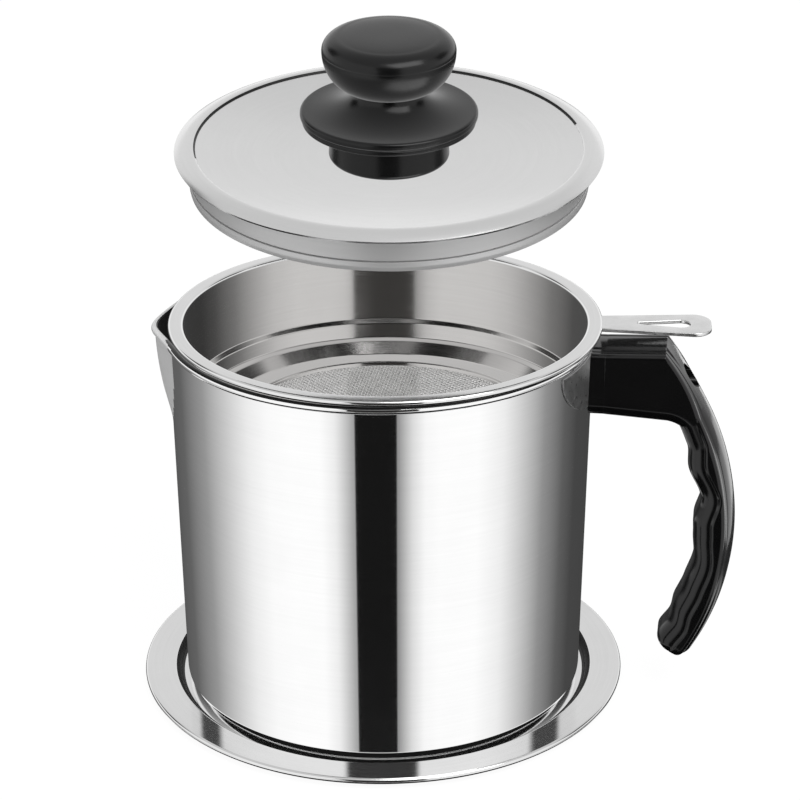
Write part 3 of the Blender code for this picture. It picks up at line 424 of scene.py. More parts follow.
class PotStudio(PropertyGroup):
    """The floor, the softboxes and the camera's lens."""

    floor: FloatVectorProperty(name="Floor", description="Colour of the floor", subtype="COLOR",
                               default=(0.85, 0.85, 0.85), min=0, max=1)
    floor_lift: FloatProperty(name="Floor lift", description="Share of plain white in the floor as seen",
                              default=0.9, min=0, max=1, subtype="FACTOR")
    floor_white: FloatProperty(name="Floor white", description="Brightness of the white in the floor",
                               default=1.04, min=0, max=1.2)
    softbox: FloatProperty(name="Softboxes", description="Brightness of the softboxes that the steel mirrors",
                           default=1.08, min=0, max=2)
    ambient: FloatProperty(name="Room light", description="Brightness of the plain light all round",
                           default=0.8, min=0, max=2)
    table: FloatProperty(name="White table", description="Brightness of the table in the handle's gloss",
                         default=2, min=0, max=10)
    lens: FloatProperty(name="Lens", description="Focal length of the camera", default=113.8, min=20,
                        unit="CAMERA")


def arc(centre, radii, start, end, steps):
    """Points of an ellipse's arc, both ends included."""
    points = []
    for i in range(steps + 1):
        angle = start + (end - start) * i / steps
        x = centre[0] + radii[0] * math.cos(angle)
        y = centre[1] + radii[1] * math.sin(angle)
        points.append(Vector((x, y)))
    return points


def rounded(corners, unit=1.0):
    """A path through corners of (radius, height, fillet), with each fillet as an arc."""
    corners = [(Vector((x * unit, z * unit)), fillet * unit) for x, z, fillet in corners]
    path = []
    for i, (here, fillet) in enumerate(corners):
        if not fillet or i in (0, len(corners) - 1):
            path.append(here)
            continue
        before = (corners[i - 1][0] - here).normalized()
        after = (corners[i + 1][0] - here).normalized()
        half = before.angle(after) / 2
        centre = here + (before + after).normalized() * (fillet / math.sin(half))
        first = here + before * (fillet / math.tan(half)) - centre
        turn = HALF_TURN - 2 * half
        if first.x * (here - centre).y - first.y * (here - centre).x < 0:
            turn = -turn
        start = math.atan2(first.y, first.x)
        steps = max(2, math.ceil(abs(turn) / ARC_STEP))
        path += arc(centre, (fillet, fillet), start, start + turn, steps)
    return path


def offset_path(path, distance):
    """The path moved to its right-hand side by a distance, with mitred corners."""
    moved = []
    for i, point in enumerate(path):
        normals = []
        if i > 0:
            step = (point - path[i - 1]).normalized()
            normals.append(Vector((step.y, -step.x)))
        if i < len(path) - 1:
            step = (path[i + 1] - point).normalized()
            normals.append(Vector((step.y, -step.x)))
        mitre = sum(normals, Vector((0, 0))).normalized()
        moved.append(point + mitre * (distance / mitre.dot(normals[0])))
    return moved


def turned(profile, segments):
    """Mesh of a closed profile of (radius, height) turned about Z. Ends at radius 0 are poles."""
    points = [Vector(point) for point in profile]
    open_ended = points[0].x == 0 and points[-1].x == 0
    solid = bmesh.new()
    rows = []
    for point in points:
        if point.x == 0:
            rows.append([solid.verts.new((0, 0, point.y))] * segments)
            continue
        row = []
        for i in range(segments):
            angle = FULL_TURN * i / segments
            row.append(solid.verts.new((point.x * math.cos(angle), point.x * math.sin(angle), point.y)))
        rows.append(row)
    pairs = list(zip(rows, rows[1:]))
    if not open_ended:
        pairs.append((rows[-1], rows[0]))
    for lower, upper in pairs:
        for i in range(segments):
            j = (i + 1) % segments
            corners = []
            for vert in (lower[i], lower[j], upper[j], upper[i]):
                if vert not in corners:
                    corners.append(vert)
            if len(corners) > 2:
                solid.faces.new(corners)
    return solid


def lofted(rings):
    """Mesh through rings of as many points each, capped at both ends."""
    loft = bmesh.new()
    rows = [[loft.verts.new(point) for point in ring] for ring in rings]
    count = len(rows[0])
    for lower, upper in zip(rows, rows[1:]):
        for i in range(count):
            j = (i + 1) % count
            loft.faces.new((lower[i], lower[j], upper[j], upper[i]))
    loft.faces.new(rows[0])
    loft.faces.new(rows[-1])
    return loft


def new_object(name, solid):
    """An object of a bmesh, smooth but for its sharp edges."""
    bmesh.ops.recalc_face_normals(solid, faces=solid.faces)
    mesh = bpy.data.meshes.new(name)
    solid.to_mesh(mesh)
    solid.free()
    mesh.shade_smooth()
    mesh.set_sharp_from_angle(angle=SHARP_ANGLE)
    obj = bpy.data.objects.new(name, mesh)
    bpy.context.scene.collection.objects.link(obj)
    return obj


def ease_edges(obj, width, angle):
    """A small bevel on the edges that are sharper than an angle."""
    ease = obj.modifiers.new("ease", "BEVEL")
    ease.width = width
    ease.segments = EASE_SEGMENTS
    ease.limit_method = "ANGLE"
    ease.angle_limit = angle
    return ease


def apply_modifiers(obj):
    """Replace an object's mesh by its evaluated one."""
    graph = bpy.context.evaluated_depsgraph_get()
    mesh = bpy.data.meshes.new_from_object(obj.evaluated_get(graph))
    obj.modifiers.clear()
    obj.data = mesh
    mesh.shade_smooth()
    mesh.set_sharp_from_angle(angle=SHARP_ANGLE)
    return obj


def fit_piece(obj, material, body, slot, *nodes):
    """Give a piece its finish, set it on its body and let it stand for its CAD nodes."""
    obj.data.materials.clear()
    obj.data.materials.append(material)
    weighted = obj.modifiers.new("weighted normals", "WEIGHTED_NORMAL")
    weighted.keep_sharp = True
    weighted.weight = NORMAL_WEIGHT
    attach(obj, body)
    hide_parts(*nodes)
    return obj


def other_finish(obj, material, wanted):
    """Give the faces whose middle passes a test a finish of their own."""
    obj.data.materials.append(material)
    for face in obj.data.polygons:
        if wanted(face.center):
            face.material_index = len(obj.data.materials) - 1


def lid_place():
    """Where the closed lid goes when it is held open as in the photograph."""
    for joint in frame["joints"]:
        if joint["name"] == "lid_lift":
            pivot = Vector(joint["pos_m"])
            turn = Matrix.Rotation(-joint["range_deg"][0] * DEGREE, 4, Vector(joint["axis"]))
            return Matrix.Translation(pivot) @ turn @ Matrix.Translation(-pivot)
    raise RuntimeError("the packed model has no joint named lid_lift")


def finishes():
    """Colours and roughness that the user can change."""
    return bpy.context.scene.pot_finishes


def details():
    """Sizes of small details that the user can change."""
    return bpy.context.scene.pot_details


# Shader node groups


def new_group(name, inputs, outputs):
    """A shader node group with float inputs and outputs, and its two end nodes."""
    group = bpy.data.node_groups.new(name, "ShaderNodeTree")
    for label, value in inputs:
        socket = group.interface.new_socket(label, in_out="INPUT", socket_type="NodeSocketFloat")
        socket.default_value = value
    for label in outputs:
        group.interface.new_socket(label, in_out="OUTPUT", socket_type="NodeSocketFloat")
    return group, group.nodes.new("NodeGroupInput"), group.nodes.new("NodeGroupOutput")


def math_node(tree, operation, first, second=None):
    """A math node fed by sockets or numbers."""
    node = tree.nodes.new("ShaderNodeMath")
    node.operation = operation
    for socket, value in zip(node.inputs, (first, second)):
        if value is None:
            continue
        if isinstance(value, bpy.types.NodeSocket):
            tree.links.new(value, socket)
        else:
            socket.default_value = value
    return node.outputs[0]


def spread_noise(group, start, end, noise, noise_range):
    """Stretch a noise to the group's low and high values, and give it out as a height too."""
    spread = group.nodes.new("ShaderNodeMapRange")
    spread.inputs["From Min"].default_value = noise_range[0]
    spread.inputs["From Max"].default_value = noise_range[1]
    group.links.new(noise.outputs["Fac"], spread.inputs["Value"])
    group.links.new(start.outputs["Low"], spread.inputs["To Min"])
    group.links.new(start.outputs["High"], spread.inputs["To Max"])
    group.links.new(spread.outputs[0], end.inputs["Value"])
    group.links.new(noise.outputs["Fac"], end.inputs["Height"])


def turning_marks_group():
    """Fine lines round the Z axis, as a polishing wheel or a brush leaves on a turned sheet."""
    name = "Turning marks"
    if name in bpy.data.node_groups:
        return bpy.data.node_groups[name]
    inputs = (("Lines per metre", 1500), ("Length", 1.5), ("Low", 0), ("High", 1))
    group, start, end = new_group(name, inputs, ("Value", "Height"))
    coordinates = group.nodes.new("ShaderNodeTexCoord")
    split = group.nodes.new("ShaderNodeSeparateXYZ")
    group.links.new(coordinates.outputs["Object"], split.inputs[0])
    x, y, z = split.outputs
    flat = math_node(group, "ADD", math_node(group, "MULTIPLY", x, x), math_node(group, "MULTIPLY", y, y))
    radius = math_node(group, "SQRT", flat)
    angle = math_node(group, "ARCTAN2", y, x)
    lines = start.outputs["Lines per metre"]
    across = group.nodes.new("ShaderNodeCombineXYZ")
    group.links.new(math_node(group, "MULTIPLY", radius, lines), across.inputs[0])
    group.links.new(math_node(group, "MULTIPLY", z, lines), across.inputs[1])
    along = start.outputs["Length"]
    group.links.new(math_node(group, "MULTIPLY", math_node(group, "COSINE", angle), along), across.inputs[2])
    noise = group.nodes.new("ShaderNodeTexNoise")
    noise.noise_dimensions = "4D"
    noise.inputs["Scale"].default_value = 1
    noise.inputs["Detail"].default_value, noise.inputs["Roughness"].default_value = MARKS_NOISE
    group.links.new(across.outputs[0], noise.inputs["Vector"])
    group.links.new(math_node(group, "MULTIPLY", math_node(group, "SINE", angle), along), noise.inputs["W"])
    spread_noise(group, start, end, noise, MARKS_RANGE)
    return group


def cloud_group():
    """Broad soft patches, for uneven polish, smudges and moulding."""
    name = "Cloud"
    if name in bpy.data.node_groups:
        return bpy.data.node_groups[name]
    inputs = (("Patches per metre", 60), ("Low", 0), ("High", 1))
    group, start, end = new_group(name, inputs, ("Value", "Height"))
    coordinates = group.nodes.new("ShaderNodeTexCoord")
    noise = group.nodes.new("ShaderNodeTexNoise")
    noise.inputs["Detail"].default_value, noise.inputs["Roughness"].default_value = CLOUD_NOISE
    group.links.new(coordinates.outputs["Object"], noise.inputs["Vector"])
    group.links.new(start.outputs["Patches per metre"], noise.inputs["Scale"])
    spread_noise(group, start, end, noise, CLOUD_RANGE)
    return group


def place_group(material, group, **values):
    """Put a node group into a material with its own values."""
    node = material.node_tree.nodes.new("ShaderNodeGroup")
    node.node_tree = group
    for label, value in values.items():
        node.inputs[label.replace("_", " ")].default_value = value
    return node


def tinted(material, colour, value, shader):
    """Colour of the finish, made darker and lighter by a value that changes over the surface."""
    tree = material.node_tree
    mix = tree.nodes.new("ShaderNodeMix")
    mix.data_type = "RGBA"
    mix.blend_type = "MULTIPLY"
    mix.inputs["Factor"].default_value = 1
    mix.inputs["A"].default_value = (*colour, 1)
    grey = tree.nodes.new("ShaderNodeCombineColor")
    for socket in grey.inputs:
        tree.links.new(value, socket)
    tree.links.new(grey.outputs[0], mix.inputs["B"])
    tree.links.new(mix.outputs["Result"], shader.inputs["Base Color"])


def bumped(material, height, shader, strength, distance):
    """Relief of the finish, from a height that changes over the surface."""
    tree = material.node_tree
    bump = tree.nodes.new("ShaderNodeBump")
    bump.inputs["Strength"].default_value = strength
    bump.inputs["Distance"].default_value = distance
    tree.links.new(height, bump.inputs["Height"])
    tree.links.new(bump.outputs[0], shader.inputs["Normal"])


def new_material(name):
    """A node material and its Principled shader, or None for the shader if it is there already."""
    if name in bpy.data.materials:
        return bpy.data.materials[name], None
    material = bpy.data.materials.new(name)
    material.use_nodes = True
    return material, material.node_tree.nodes["Principled BSDF"]


def turned_steel(name, colour, roughness, lines, spread, strength, anisotropy=0.0, metallic=1.0):
    """Steel with marks round its axis: spread is how far they change roughness and colour."""
    material, shader = new_material(name)
    if shader is None:
        return material
    tree = material.node_tree
    shader.inputs["Metallic"].default_value = metallic
    marks = turning_marks_group()
    fine = place_group(material, marks, Lines_per_metre=lines, Low=roughness * (1 - spread),
                       High=roughness * (1 + spread))
    tree.links.new(fine.outputs["Value"], shader.inputs["Roughness"])
    tone = place_group(material, marks, Lines_per_metre=lines / 2, Low=1 - spread * TONE_VARIATION, High=1)
    patches = place_group(material, cloud_group(), Low=1 - spread * PATCH_VARIATION, High=1)
    both = math_node(tree, "MULTIPLY", tone.outputs["Value"], patches.outputs["Value"])
    tinted(material, colour, both, shader)
    bumped(material, fine.outputs["Height"], shader, strength, RELIEF)
    if anisotropy:
        shader.inputs["Anisotropic"].default_value = anisotropy
        shader.inputs["Anisotropic Rotation"].default_value = BRUSHED_ROTATION
        tangent = tree.nodes.new("ShaderNodeTangent")
        tangent.direction_type = "RADIAL"
        tangent.axis = "Z"
        tree.links.new(tangent.outputs[0], shader.inputs["Tangent"])
    return material


def plain_metal(name, colour, roughness, patches):
    """Machined or rolled metal with faint uneven patches."""
    material, shader = new_material(name)
    if shader is None:
        return material
    shader.inputs["Metallic"].default_value = 1
    smooth, dull = METAL_GLOSS
    cloud = place_group(material, cloud_group(), Patches_per_metre=patches, Low=roughness * smooth,
                        High=roughness * dull)
    material.node_tree.links.new(cloud.outputs["Value"], shader.inputs["Roughness"])
    tone = place_group(material, cloud_group(), Patches_per_metre=patches / METAL_TONE_SIZE, Low=METAL_TONE,
                       High=1)
    tinted(material, colour, tone.outputs["Value"], shader)
    bumped(material, cloud.outputs["Height"], shader, METAL_RELIEF, RELIEF)
    return material


def moulded_plastic(name, colour, roughness, grain, strength, level):
    """Moulded plastic with a fine grain and softly uneven gloss."""
    material, shader = new_material(name)
    if shader is None:
        return material
    shader.inputs["Specular IOR Level"].default_value = level
    smooth, dull = PLASTIC_GLOSS
    gloss = place_group(material, cloud_group(), Patches_per_metre=PLASTIC_PATCHES, Low=roughness * smooth,
                        High=roughness * dull)
    material.node_tree.links.new(gloss.outputs["Value"], shader.inputs["Roughness"])
    fine = place_group(material, cloud_group(), Patches_per_metre=grain, Low=PLASTIC_TONE, High=1)
    tinted(material, colour, fine.outputs["Value"], shader)
    bumped(material, fine.outputs["Height"], shader, strength, GRAIN_RELIEF)
    return material


def polished_steel():
    """Mirror polish of the pot."""
    return turned_steel("mirror_steel", finishes().polished, finishes().polished_roughness, *POLISHING)


def brushed_steel():
    """Brushed inside of the strainer."""
    return turned_steel("strainer_steel", finishes().brushed, finishes().brushed_roughness, *BRUSHING,
                        anisotropy=BRUSHED_ANISOTROPY)


def ring_steel():
    """Brighter polish of the strainer's rolled ring."""
    return turned_steel("ring_steel", finishes().tray, *RING_TURNING)


def spout_steel():
    """Satin of the folded spout, which the polishing wheel doesn't reach."""
    return turned_steel("spout_steel", finishes().lid, *SPOUT_TURNING, metallic=SPOUT_METALLIC)


def tray_steel():
    """Polish of the drip tray."""
    return turned_steel("tray_steel", finishes().tray, *TRAY_TURNING)


def lid_steel():
    """Satin top of the lid."""
    return turned_steel("lid_top_steel", finishes().lid, *LID_TURNING)


def crease_shade_steel():
    """Painted shade: a dark line in the step behind the lid's dish, where the step lies in shade."""
    return turned_steel("crease_shade_steel", CREASE_SHADE_COLOUR, *CREASE_SHADE_TURNING)


def skirt_steel():
    """Dull rolled steel of the skirt under the lid."""
    return turned_steel("skirt_steel", finishes().fixing, *SKIRT_TURNING, metallic=SKIRT_METALLIC)


def painted_shade_steel():
    """Painted shade: dark dull steel for places where no light gets in, such as where two rounded edges lie
    close together.
    """
    return turned_steel("painted_shade_steel", SHADOW_COLOUR, *SHADOW_TURNING)


def saddle_steel():
    """Duller steel of the plate that is welded to the pot behind the handle."""
    return plain_metal("saddle_steel", SADDLE_COLOUR, *SADDLE_SURFACE)


def tab_steel():
    """Rolled steel of the strainer's lifting tab."""
    return plain_metal("tab_steel", finishes().lid, *TAB_SURFACE)


def wire_steel():
    """Drawn wire of the strainer's mesh."""
    return plain_metal("wire_steel", finishes().wire, *WIRE_SURFACE)


def fixing_steel():
    """Machined steel of screws, washers and boss."""
    return plain_metal("fixing_steel", finishes().fixing, *FIXING_SURFACE)


def insert_brass():
    """Machined brass of the knob's insert."""
    return plain_metal("thread_brass", finishes().insert, *BRASS_SURFACE)


def handle_plastic():
    """Glossy black moulding of the handle."""
    return moulded_plastic("handle_moulding", finishes().handle, *HANDLE_MOULDING)


def knob_plastic():
    """Satin black moulding of the knob."""
    return moulded_plastic("knob_moulding", finishes().knob, *KNOB_MOULDING)


# Pot and tray


def wall_radius(height):
    """Radius of the pot's outer face at a height."""
    low = POT_FLOOR + POT_CORNER_RADIUS
    share = (height - low) / (RIM_BEAD_HEIGHT - low)
    return POT_BASE_RADIUS + (POT_RIM_RADIUS - POT_BASE_RADIUS) * share


def spout_push(angle, share):
    """How far the wall is folded out, at an angle from the spout's ridge and a share of its height."""
    if share == 0:
        return 0
    bulge = math.sqrt(share * (2 - share))
    tip = math.acos(POT_RIM_RADIUS / (POT_RIM_RADIUS + SPOUT_REACH * bulge))
    soft = SPOUT_TIP_ANGLE * math.sqrt(bulge)
    left = tip + soft - math.sqrt(angle * angle + soft * soft)
    return POT_RIM_RADIUS * (1 / math.cos(max(left, 0)) - 1)


def spout_share(height):
    """How far up the spout a height is, from 0 at its foot to 1 at the rim bead."""
    top = RIM_BEAD_HEIGHT - RIM_BEAD_RADIUS
    return min(max((height - top + SPOUT_LENGTH) / SPOUT_LENGTH, 0), 1)


def on_spout(point):
    """Whether a point of the folded wall belongs to the spout."""
    share = spout_share(point.z + SPOUT_FINISH_LIFT)
    return spout_push(math.atan2(point.y, -point.x), share) > SPOUT_FINISH_PUSH


def in_well_shade(point):
    """Whether a point of the tray lies in the narrow well round the pot's foot, where shade is painted."""
    return point.z > TRAY_SHEET / 2 and WELL_SHADE_RADII[0] < math.hypot(point.x, point.y) < WELL_SHADE_RADII[1]


def in_rim_shadow(point):
    """Whether a point of the pot gets painted shade: inside the spout, or on its rim bead under the
    strainer's ring.
    """
    radius = math.hypot(point.x, point.y)
    push = spout_push(math.atan2(point.y, -point.x), spout_share(point.z + SPOUT_FINISH_LIFT))
    inside = push > SPOUT_FINISH_PUSH and radius < wall_radius(point.z) + push - POT_WALL / 2
    return inside or point.z > BEAD_SHADOW_FOOT and radius < POT_RIM_RADIUS + RIM_BEAD_RADIUS


def fold_spout(solid):
    """Fold the spout into the wall of a turned pot."""
    tip_push = spout_push(0, 1)
    for vert in solid.verts:
        x, y, z = vert.co
        share = spout_share(z)
        radius = math.hypot(x, y)
        push = spout_push(math.atan2(y, -x), share) if share and radius else 0
        if push:
            stretch = (radius + push) / radius
            vert.co = (x * stretch, y * stretch, z - SPOUT_DIP * share * share * push / tip_push)


def pot_outside(top):
    """Outer face of the pot from the middle of its floor, round the corner and up to a height."""
    base = wall_radius(POT_FLOOR + POT_CORNER_RADIUS)
    centre = (base - POT_CORNER_RADIUS, POT_FLOOR + POT_CORNER_RADIUS)
    face = [Vector((0, POT_FLOOR)), Vector((base - 2 * POT_CORNER_RADIUS, POT_FLOOR))]
    face += arc(centre, (POT_CORNER_RADIUS, POT_CORNER_RADIUS), -RIGHT_ANGLE, 0, CORNER_STEPS)
    face.append(Vector((wall_radius(top), top)))
    return face


class AddTray(Operator):
    """Tray with its flange and rolled edge"""

    bl_idname = "strainer_pot.add_tray"
    bl_label = "Tray"

    def execute(self, context):
        face = rounded(((0, TRAY_SHEET, 0), (TRAY_FLOOR_RADIUS, TRAY_SHEET, TRAY_FOOT_FILLET),
                        (TRAY_FLOOR_RADIUS + TRAY_WALL_RUN, TRAY_HEIGHT, TRAY_BROW_FILLET),
                        (TRAY_FLANGE_RADIUS, TRAY_HEIGHT, 0)))
        under = offset_path(face, TRAY_SHEET)
        under[-1].x = TRAY_FLANGE_RADIUS - TRAY_ROLL_RADIUS
        centre = (TRAY_FLANGE_RADIUS, TRAY_HEIGHT - TRAY_ROLL_RADIUS)
        roll = arc(centre, (TRAY_ROLL_RADIUS, TRAY_ROLL_RADIUS), RIGHT_ANGLE, -HALF_TURN, ROLL_STEPS)
        obj = new_object("tray_dish", turned(face[:-1] + roll + under[::-1], POT_SEGMENTS))
        fit_piece(obj, tray_steel(), "tray", "polished_steel", "tray")
        # Painted shade in the well round the pot's foot
        other_finish(obj, painted_shade_steel(), in_well_shade)
        obj.visible_glossy = False
        return {"FINISHED"}


class AddPot(Operator):
    """Pot with its rim bead, spout and the plate that carries the handle"""

    bl_idname = "strainer_pot.add_pot"
    bl_label = "Pot"

    def execute(self, context):
        bead_foot = RIM_BEAD_HEIGHT - RIM_BEAD_RADIUS
        outer = pot_outside(bead_foot)[:-1]
        for i in range(SPOUT_LEVELS + 1):
            height = bead_foot - SPOUT_LENGTH * (1 - (i / SPOUT_LEVELS) ** 2)
            outer.append(Vector((wall_radius(height), height)))
        inner = offset_path(outer, -POT_WALL)
        bead_start = math.acos(-POT_WALL / RIM_BEAD_RADIUS)
        bead_radii = (RIM_BEAD_RADIUS, RIM_BEAD_RADIUS)
        bead = arc((POT_RIM_RADIUS, RIM_BEAD_HEIGHT), bead_radii, bead_start, -RIGHT_ANGLE, BEAD_STEPS)
        solid = turned(inner + bead[:-1] + outer[::-1], POT_SEGMENTS)
        fold_spout(solid)
        obj = new_object("pot_wall", solid)
        fit_piece(obj, polished_steel(), "pot", "polished_steel", "pot_body")
        other_finish(obj, spout_steel(), on_spout)
        # Painted shade inside the spout and on the rim bead under the strainer's ring
        other_finish(obj, painted_shade_steel(), in_rim_shadow)
        obj.visible_glossy = False
        self.add_saddle()
        return {"FINISHED"}

    def add_saddle(self):
        """Half-round plate, bent round the wall, with its edges eased."""
        top = POT_FLOOR + POT_HEIGHT - SADDLE_DROP
        face = bmesh.new()
        rows = []
        for i in range(SADDLE_COLUMNS + 1):
            share = -math.cos(HALF_TURN * i / SADDLE_COLUMNS)
            angle = share * SADDLE_HALF_ANGLE
            drop = SADDLE_HEIGHT * max(math.sqrt(max(1 - share * share, 0)), SADDLE_END_SHARE)
            row = []
            for step in range(SADDLE_ROWS + 1):
                height = top - drop * (1 - step / SADDLE_ROWS)
                radius = wall_radius(height) + SHOWN_GAP
                row.append(face.verts.new((radius * math.cos(angle), radius * math.sin(angle), height)))
            rows.append(row)
        for left, right in zip(rows, rows[1:]):
            for i in range(SADDLE_ROWS):
                face.faces.new((left[i], right[i], right[i + 1], left[i + 1]))
        obj = new_object("saddle_sheet", face)
        sheet = obj.modifiers.new("sheet", "SOLIDIFY")
        sheet.thickness = SADDLE_SHOWN_SHEET
        sheet.offset = 1
        sheet.use_even_offset = True
        ease_edges(obj, SADDLE_EASE, SADDLE_EASE_ANGLE).harden_normals = True
        apply_modifiers(obj)
        fit_piece(obj, saddle_steel(), "pot", "brushed_steel", "saddle_plate")


# Handle


def boss_start():
    """Where the boss starts, on the outside of the saddle plate."""
    return wall_radius(BOSS_HEIGHT) + SEAT_GAP + SADDLE_SHEET + SEAT_GAP


def arm_start():
    """Where the arm starts, beyond the ferrule."""
    return wall_radius(ARM_TOP) + SEAT_GAP + SADDLE_SHEET + SEAT_GAP + FERRULE_LENGTH


def screw_seat():
    """Where the washer of the handle's screw rests."""
    return boss_start() + BOSS_LENGTH + SEAT_GAP + SCREW_HEAD_HEIGHT


def finger_depth(share):
    """Depth of the grip at a share of its length, going softly from one finger share to the next."""
    for (low, low_depth), (high, high_depth) in zip(FINGER_SHARES, FINGER_SHARES[1:]):
        if share <= high:
            t = (share - low) / (high - low)
            return GRIP_DEPTH * (low_depth + (high_depth - low_depth) * t * t * (3 - 2 * t))
    return GRIP_DEPTH * FINGER_SHARES[-1][1]


def handle_back(angle, depth=0):
    """Point below the round back of the handle, in the plane of X and Z."""
    centre_x = POT_RIM_RADIUS + HANDLE_PROJECTION - HANDLE_BACK_RADIUS
    corner_x = arm_start() + ARM_LENGTH
    centre_z = ARM_TOP - math.sqrt(HANDLE_BACK_RADIUS ** 2 - (corner_x - centre_x) ** 2)
    radius = HANDLE_BACK_RADIUS - depth
    return Vector((centre_x + radius * math.cos(angle), centre_z + radius * math.sin(angle)))


def handle_section(inner, outer, crown, groove=0.0, rib=0.0, inset=0.0):
    """Ring of points round the handle, between a point on its finger side and the crown of its back.

    A groove runs along the finger side at both flanks and another along the back beside its rounded
    edges. The rib lies along the arm's top.
    """
    across = (outer - inner).normalized()
    full = (outer - inner).length
    depth = full - crown
    half = HANDLE_THICKNESS / 2
    hollow = details().groove_depth * groove
    rise = details().arm_rib_height * rib
    line = details().back_line
    side = arc((half - hollow - FINGER_BAND_WIDTH, FINGER_BAND), (FINGER_BAND_WIDTH, FINGER_BAND),
               -RIGHT_ANGLE, 0, BAND_STEPS)
    side += [Vector((half - hollow * share, at * MM)) for at, share in FINGER_LIP]
    back = HANDLE_BACK_ROUND
    flat = half - back
    side += arc((flat, depth - back), (back, back), 0, RIGHT_ANGLE, EDGE_STEPS)
    for at, line_share, rib_share in BACK_PROFILE:
        y = at * MM
        height = depth + crown * (1 - (y / flat) ** 2) - line * line_share + rise * rib_share
        side.append(Vector((y, height)))
    narrow = (half - inset) / half
    shrink = (full - 2 * inset) / full
    ring = []
    for y, along in side + [Vector((-point.x, point.y)) for point in side[-2::-1]]:
        place = inner + across * (inset + along * shrink)
        ring.append((place.x, y * narrow, place.y))
    return ring


def handle_rings():
    """Sections from the arm's end at the ferrule, round the knee and down to the tip."""
    start = arm_start() + ARM_JOINT
    corner_x = arm_start() + ARM_LENGTH
    centre_x = handle_back(0).x - HANDLE_BACK_RADIUS
    corner_angle = math.acos((corner_x - centre_x) / HANDLE_BACK_RADIUS)
    knee = handle_back(KNEE_ANGLE, finger_depth(0))
    bend = Vector((corner_x + (knee.x - corner_x) * (1 - KNEE_LENGTH_SHARE / 2), ARM_BOTTOM))
    low_corner = Vector((corner_x, ARM_BOTTOM))
    rings = []
    for x in (start, corner_x - ARM_END_STEP):
        t = (x - start) / (corner_x - start)
        low = ARM_ROOT_BOTTOM + (ARM_BOTTOM - ARM_ROOT_BOTTOM) * t
        high = ARM_ROOT_TOP + (ARM_TOP - ARM_ROOT_TOP) * t
        rings.append(handle_section(Vector((x, low)), Vector((x, high)), ARM_CROWN, 0, 1))
    for i in range(KNEE_SECTIONS):
        t = i / KNEE_SECTIONS
        inner = low_corner * (1 - t) ** 2 + bend * (2 * t * (1 - t)) + knee * t * t
        outer = handle_back(corner_angle + (KNEE_ANGLE - corner_angle) * t)
        crown = ARM_CROWN + (GRIP_CROWN - ARM_CROWN) * t
        rings.append(handle_section(inner, outer, crown, 0, max(1 - RIB_FADE * t, 0)))
    for i in range(GRIP_SECTIONS + 1):
        share = i / GRIP_SECTIONS
        angle = KNEE_ANGLE + (GRIP_TIP_ANGLE - KNEE_ANGLE) * share
        groove = min(share / GROOVE_START_SHARE, 1)
        inner = handle_back(angle, finger_depth(share))
        rings.append(handle_section(inner, handle_back(angle), GRIP_CROWN, groove))
    tip_inner = handle_back(GRIP_TIP_ANGLE, finger_depth(1))
    tip_outer = handle_back(GRIP_TIP_ANGLE)
    onward = Vector((math.sin(GRIP_TIP_ANGLE), -math.cos(GRIP_TIP_ANGLE)))
    for i in range(1, TIP_SECTIONS + 1):
        turn = GRIP_TIP_TURN * i / TIP_SECTIONS
        shift = onward * (GRIP_TIP_ROUND * math.sin(turn))
        inset = GRIP_TIP_ROUND * (1 - math.cos(turn))
        groove = 1 - i / TIP_SECTIONS
        rings.append(handle_section(tip_inner + shift, tip_outer + shift, GRIP_CROWN, groove, 0, inset))
    return rings


def lay_along_x(obj, height):
    """Turn a mesh made about Z so that its axis lies along +X at a height."""
    obj.data.transform(Matrix.Translation((0, 0, height)) @ Matrix.Rotation(RIGHT_ANGLE, 4, "Y"))
    return obj


def cross_recess(seat_end, size, depth):
    """Cutter for a cross recess in a screw head whose face is at a height."""
    cutter = bmesh.new()
    for turn in (0, RIGHT_ANGLE):
        place = Matrix.Translation((0, 0, seat_end)) @ Matrix.Rotation(turn, 4, "Z")
        shape = Matrix.Diagonal((size, size / RECESS_PROPORTION, 2 * depth, 1))
        bmesh.ops.create_cube(cutter, size=1, matrix=place @ shape)
    return cutter


def cut(obj, cutter):
    """Cut one object out of another and remove the cutter."""
    boolean = obj.modifiers.new("cut", "BOOLEAN")
    boolean.operation = "DIFFERENCE"
    boolean.solver = "EXACT"
    boolean.use_self = True
    boolean.object = cutter
    apply_modifiers(obj)
    bpy.data.objects.remove(cutter, do_unlink=True)
    return obj


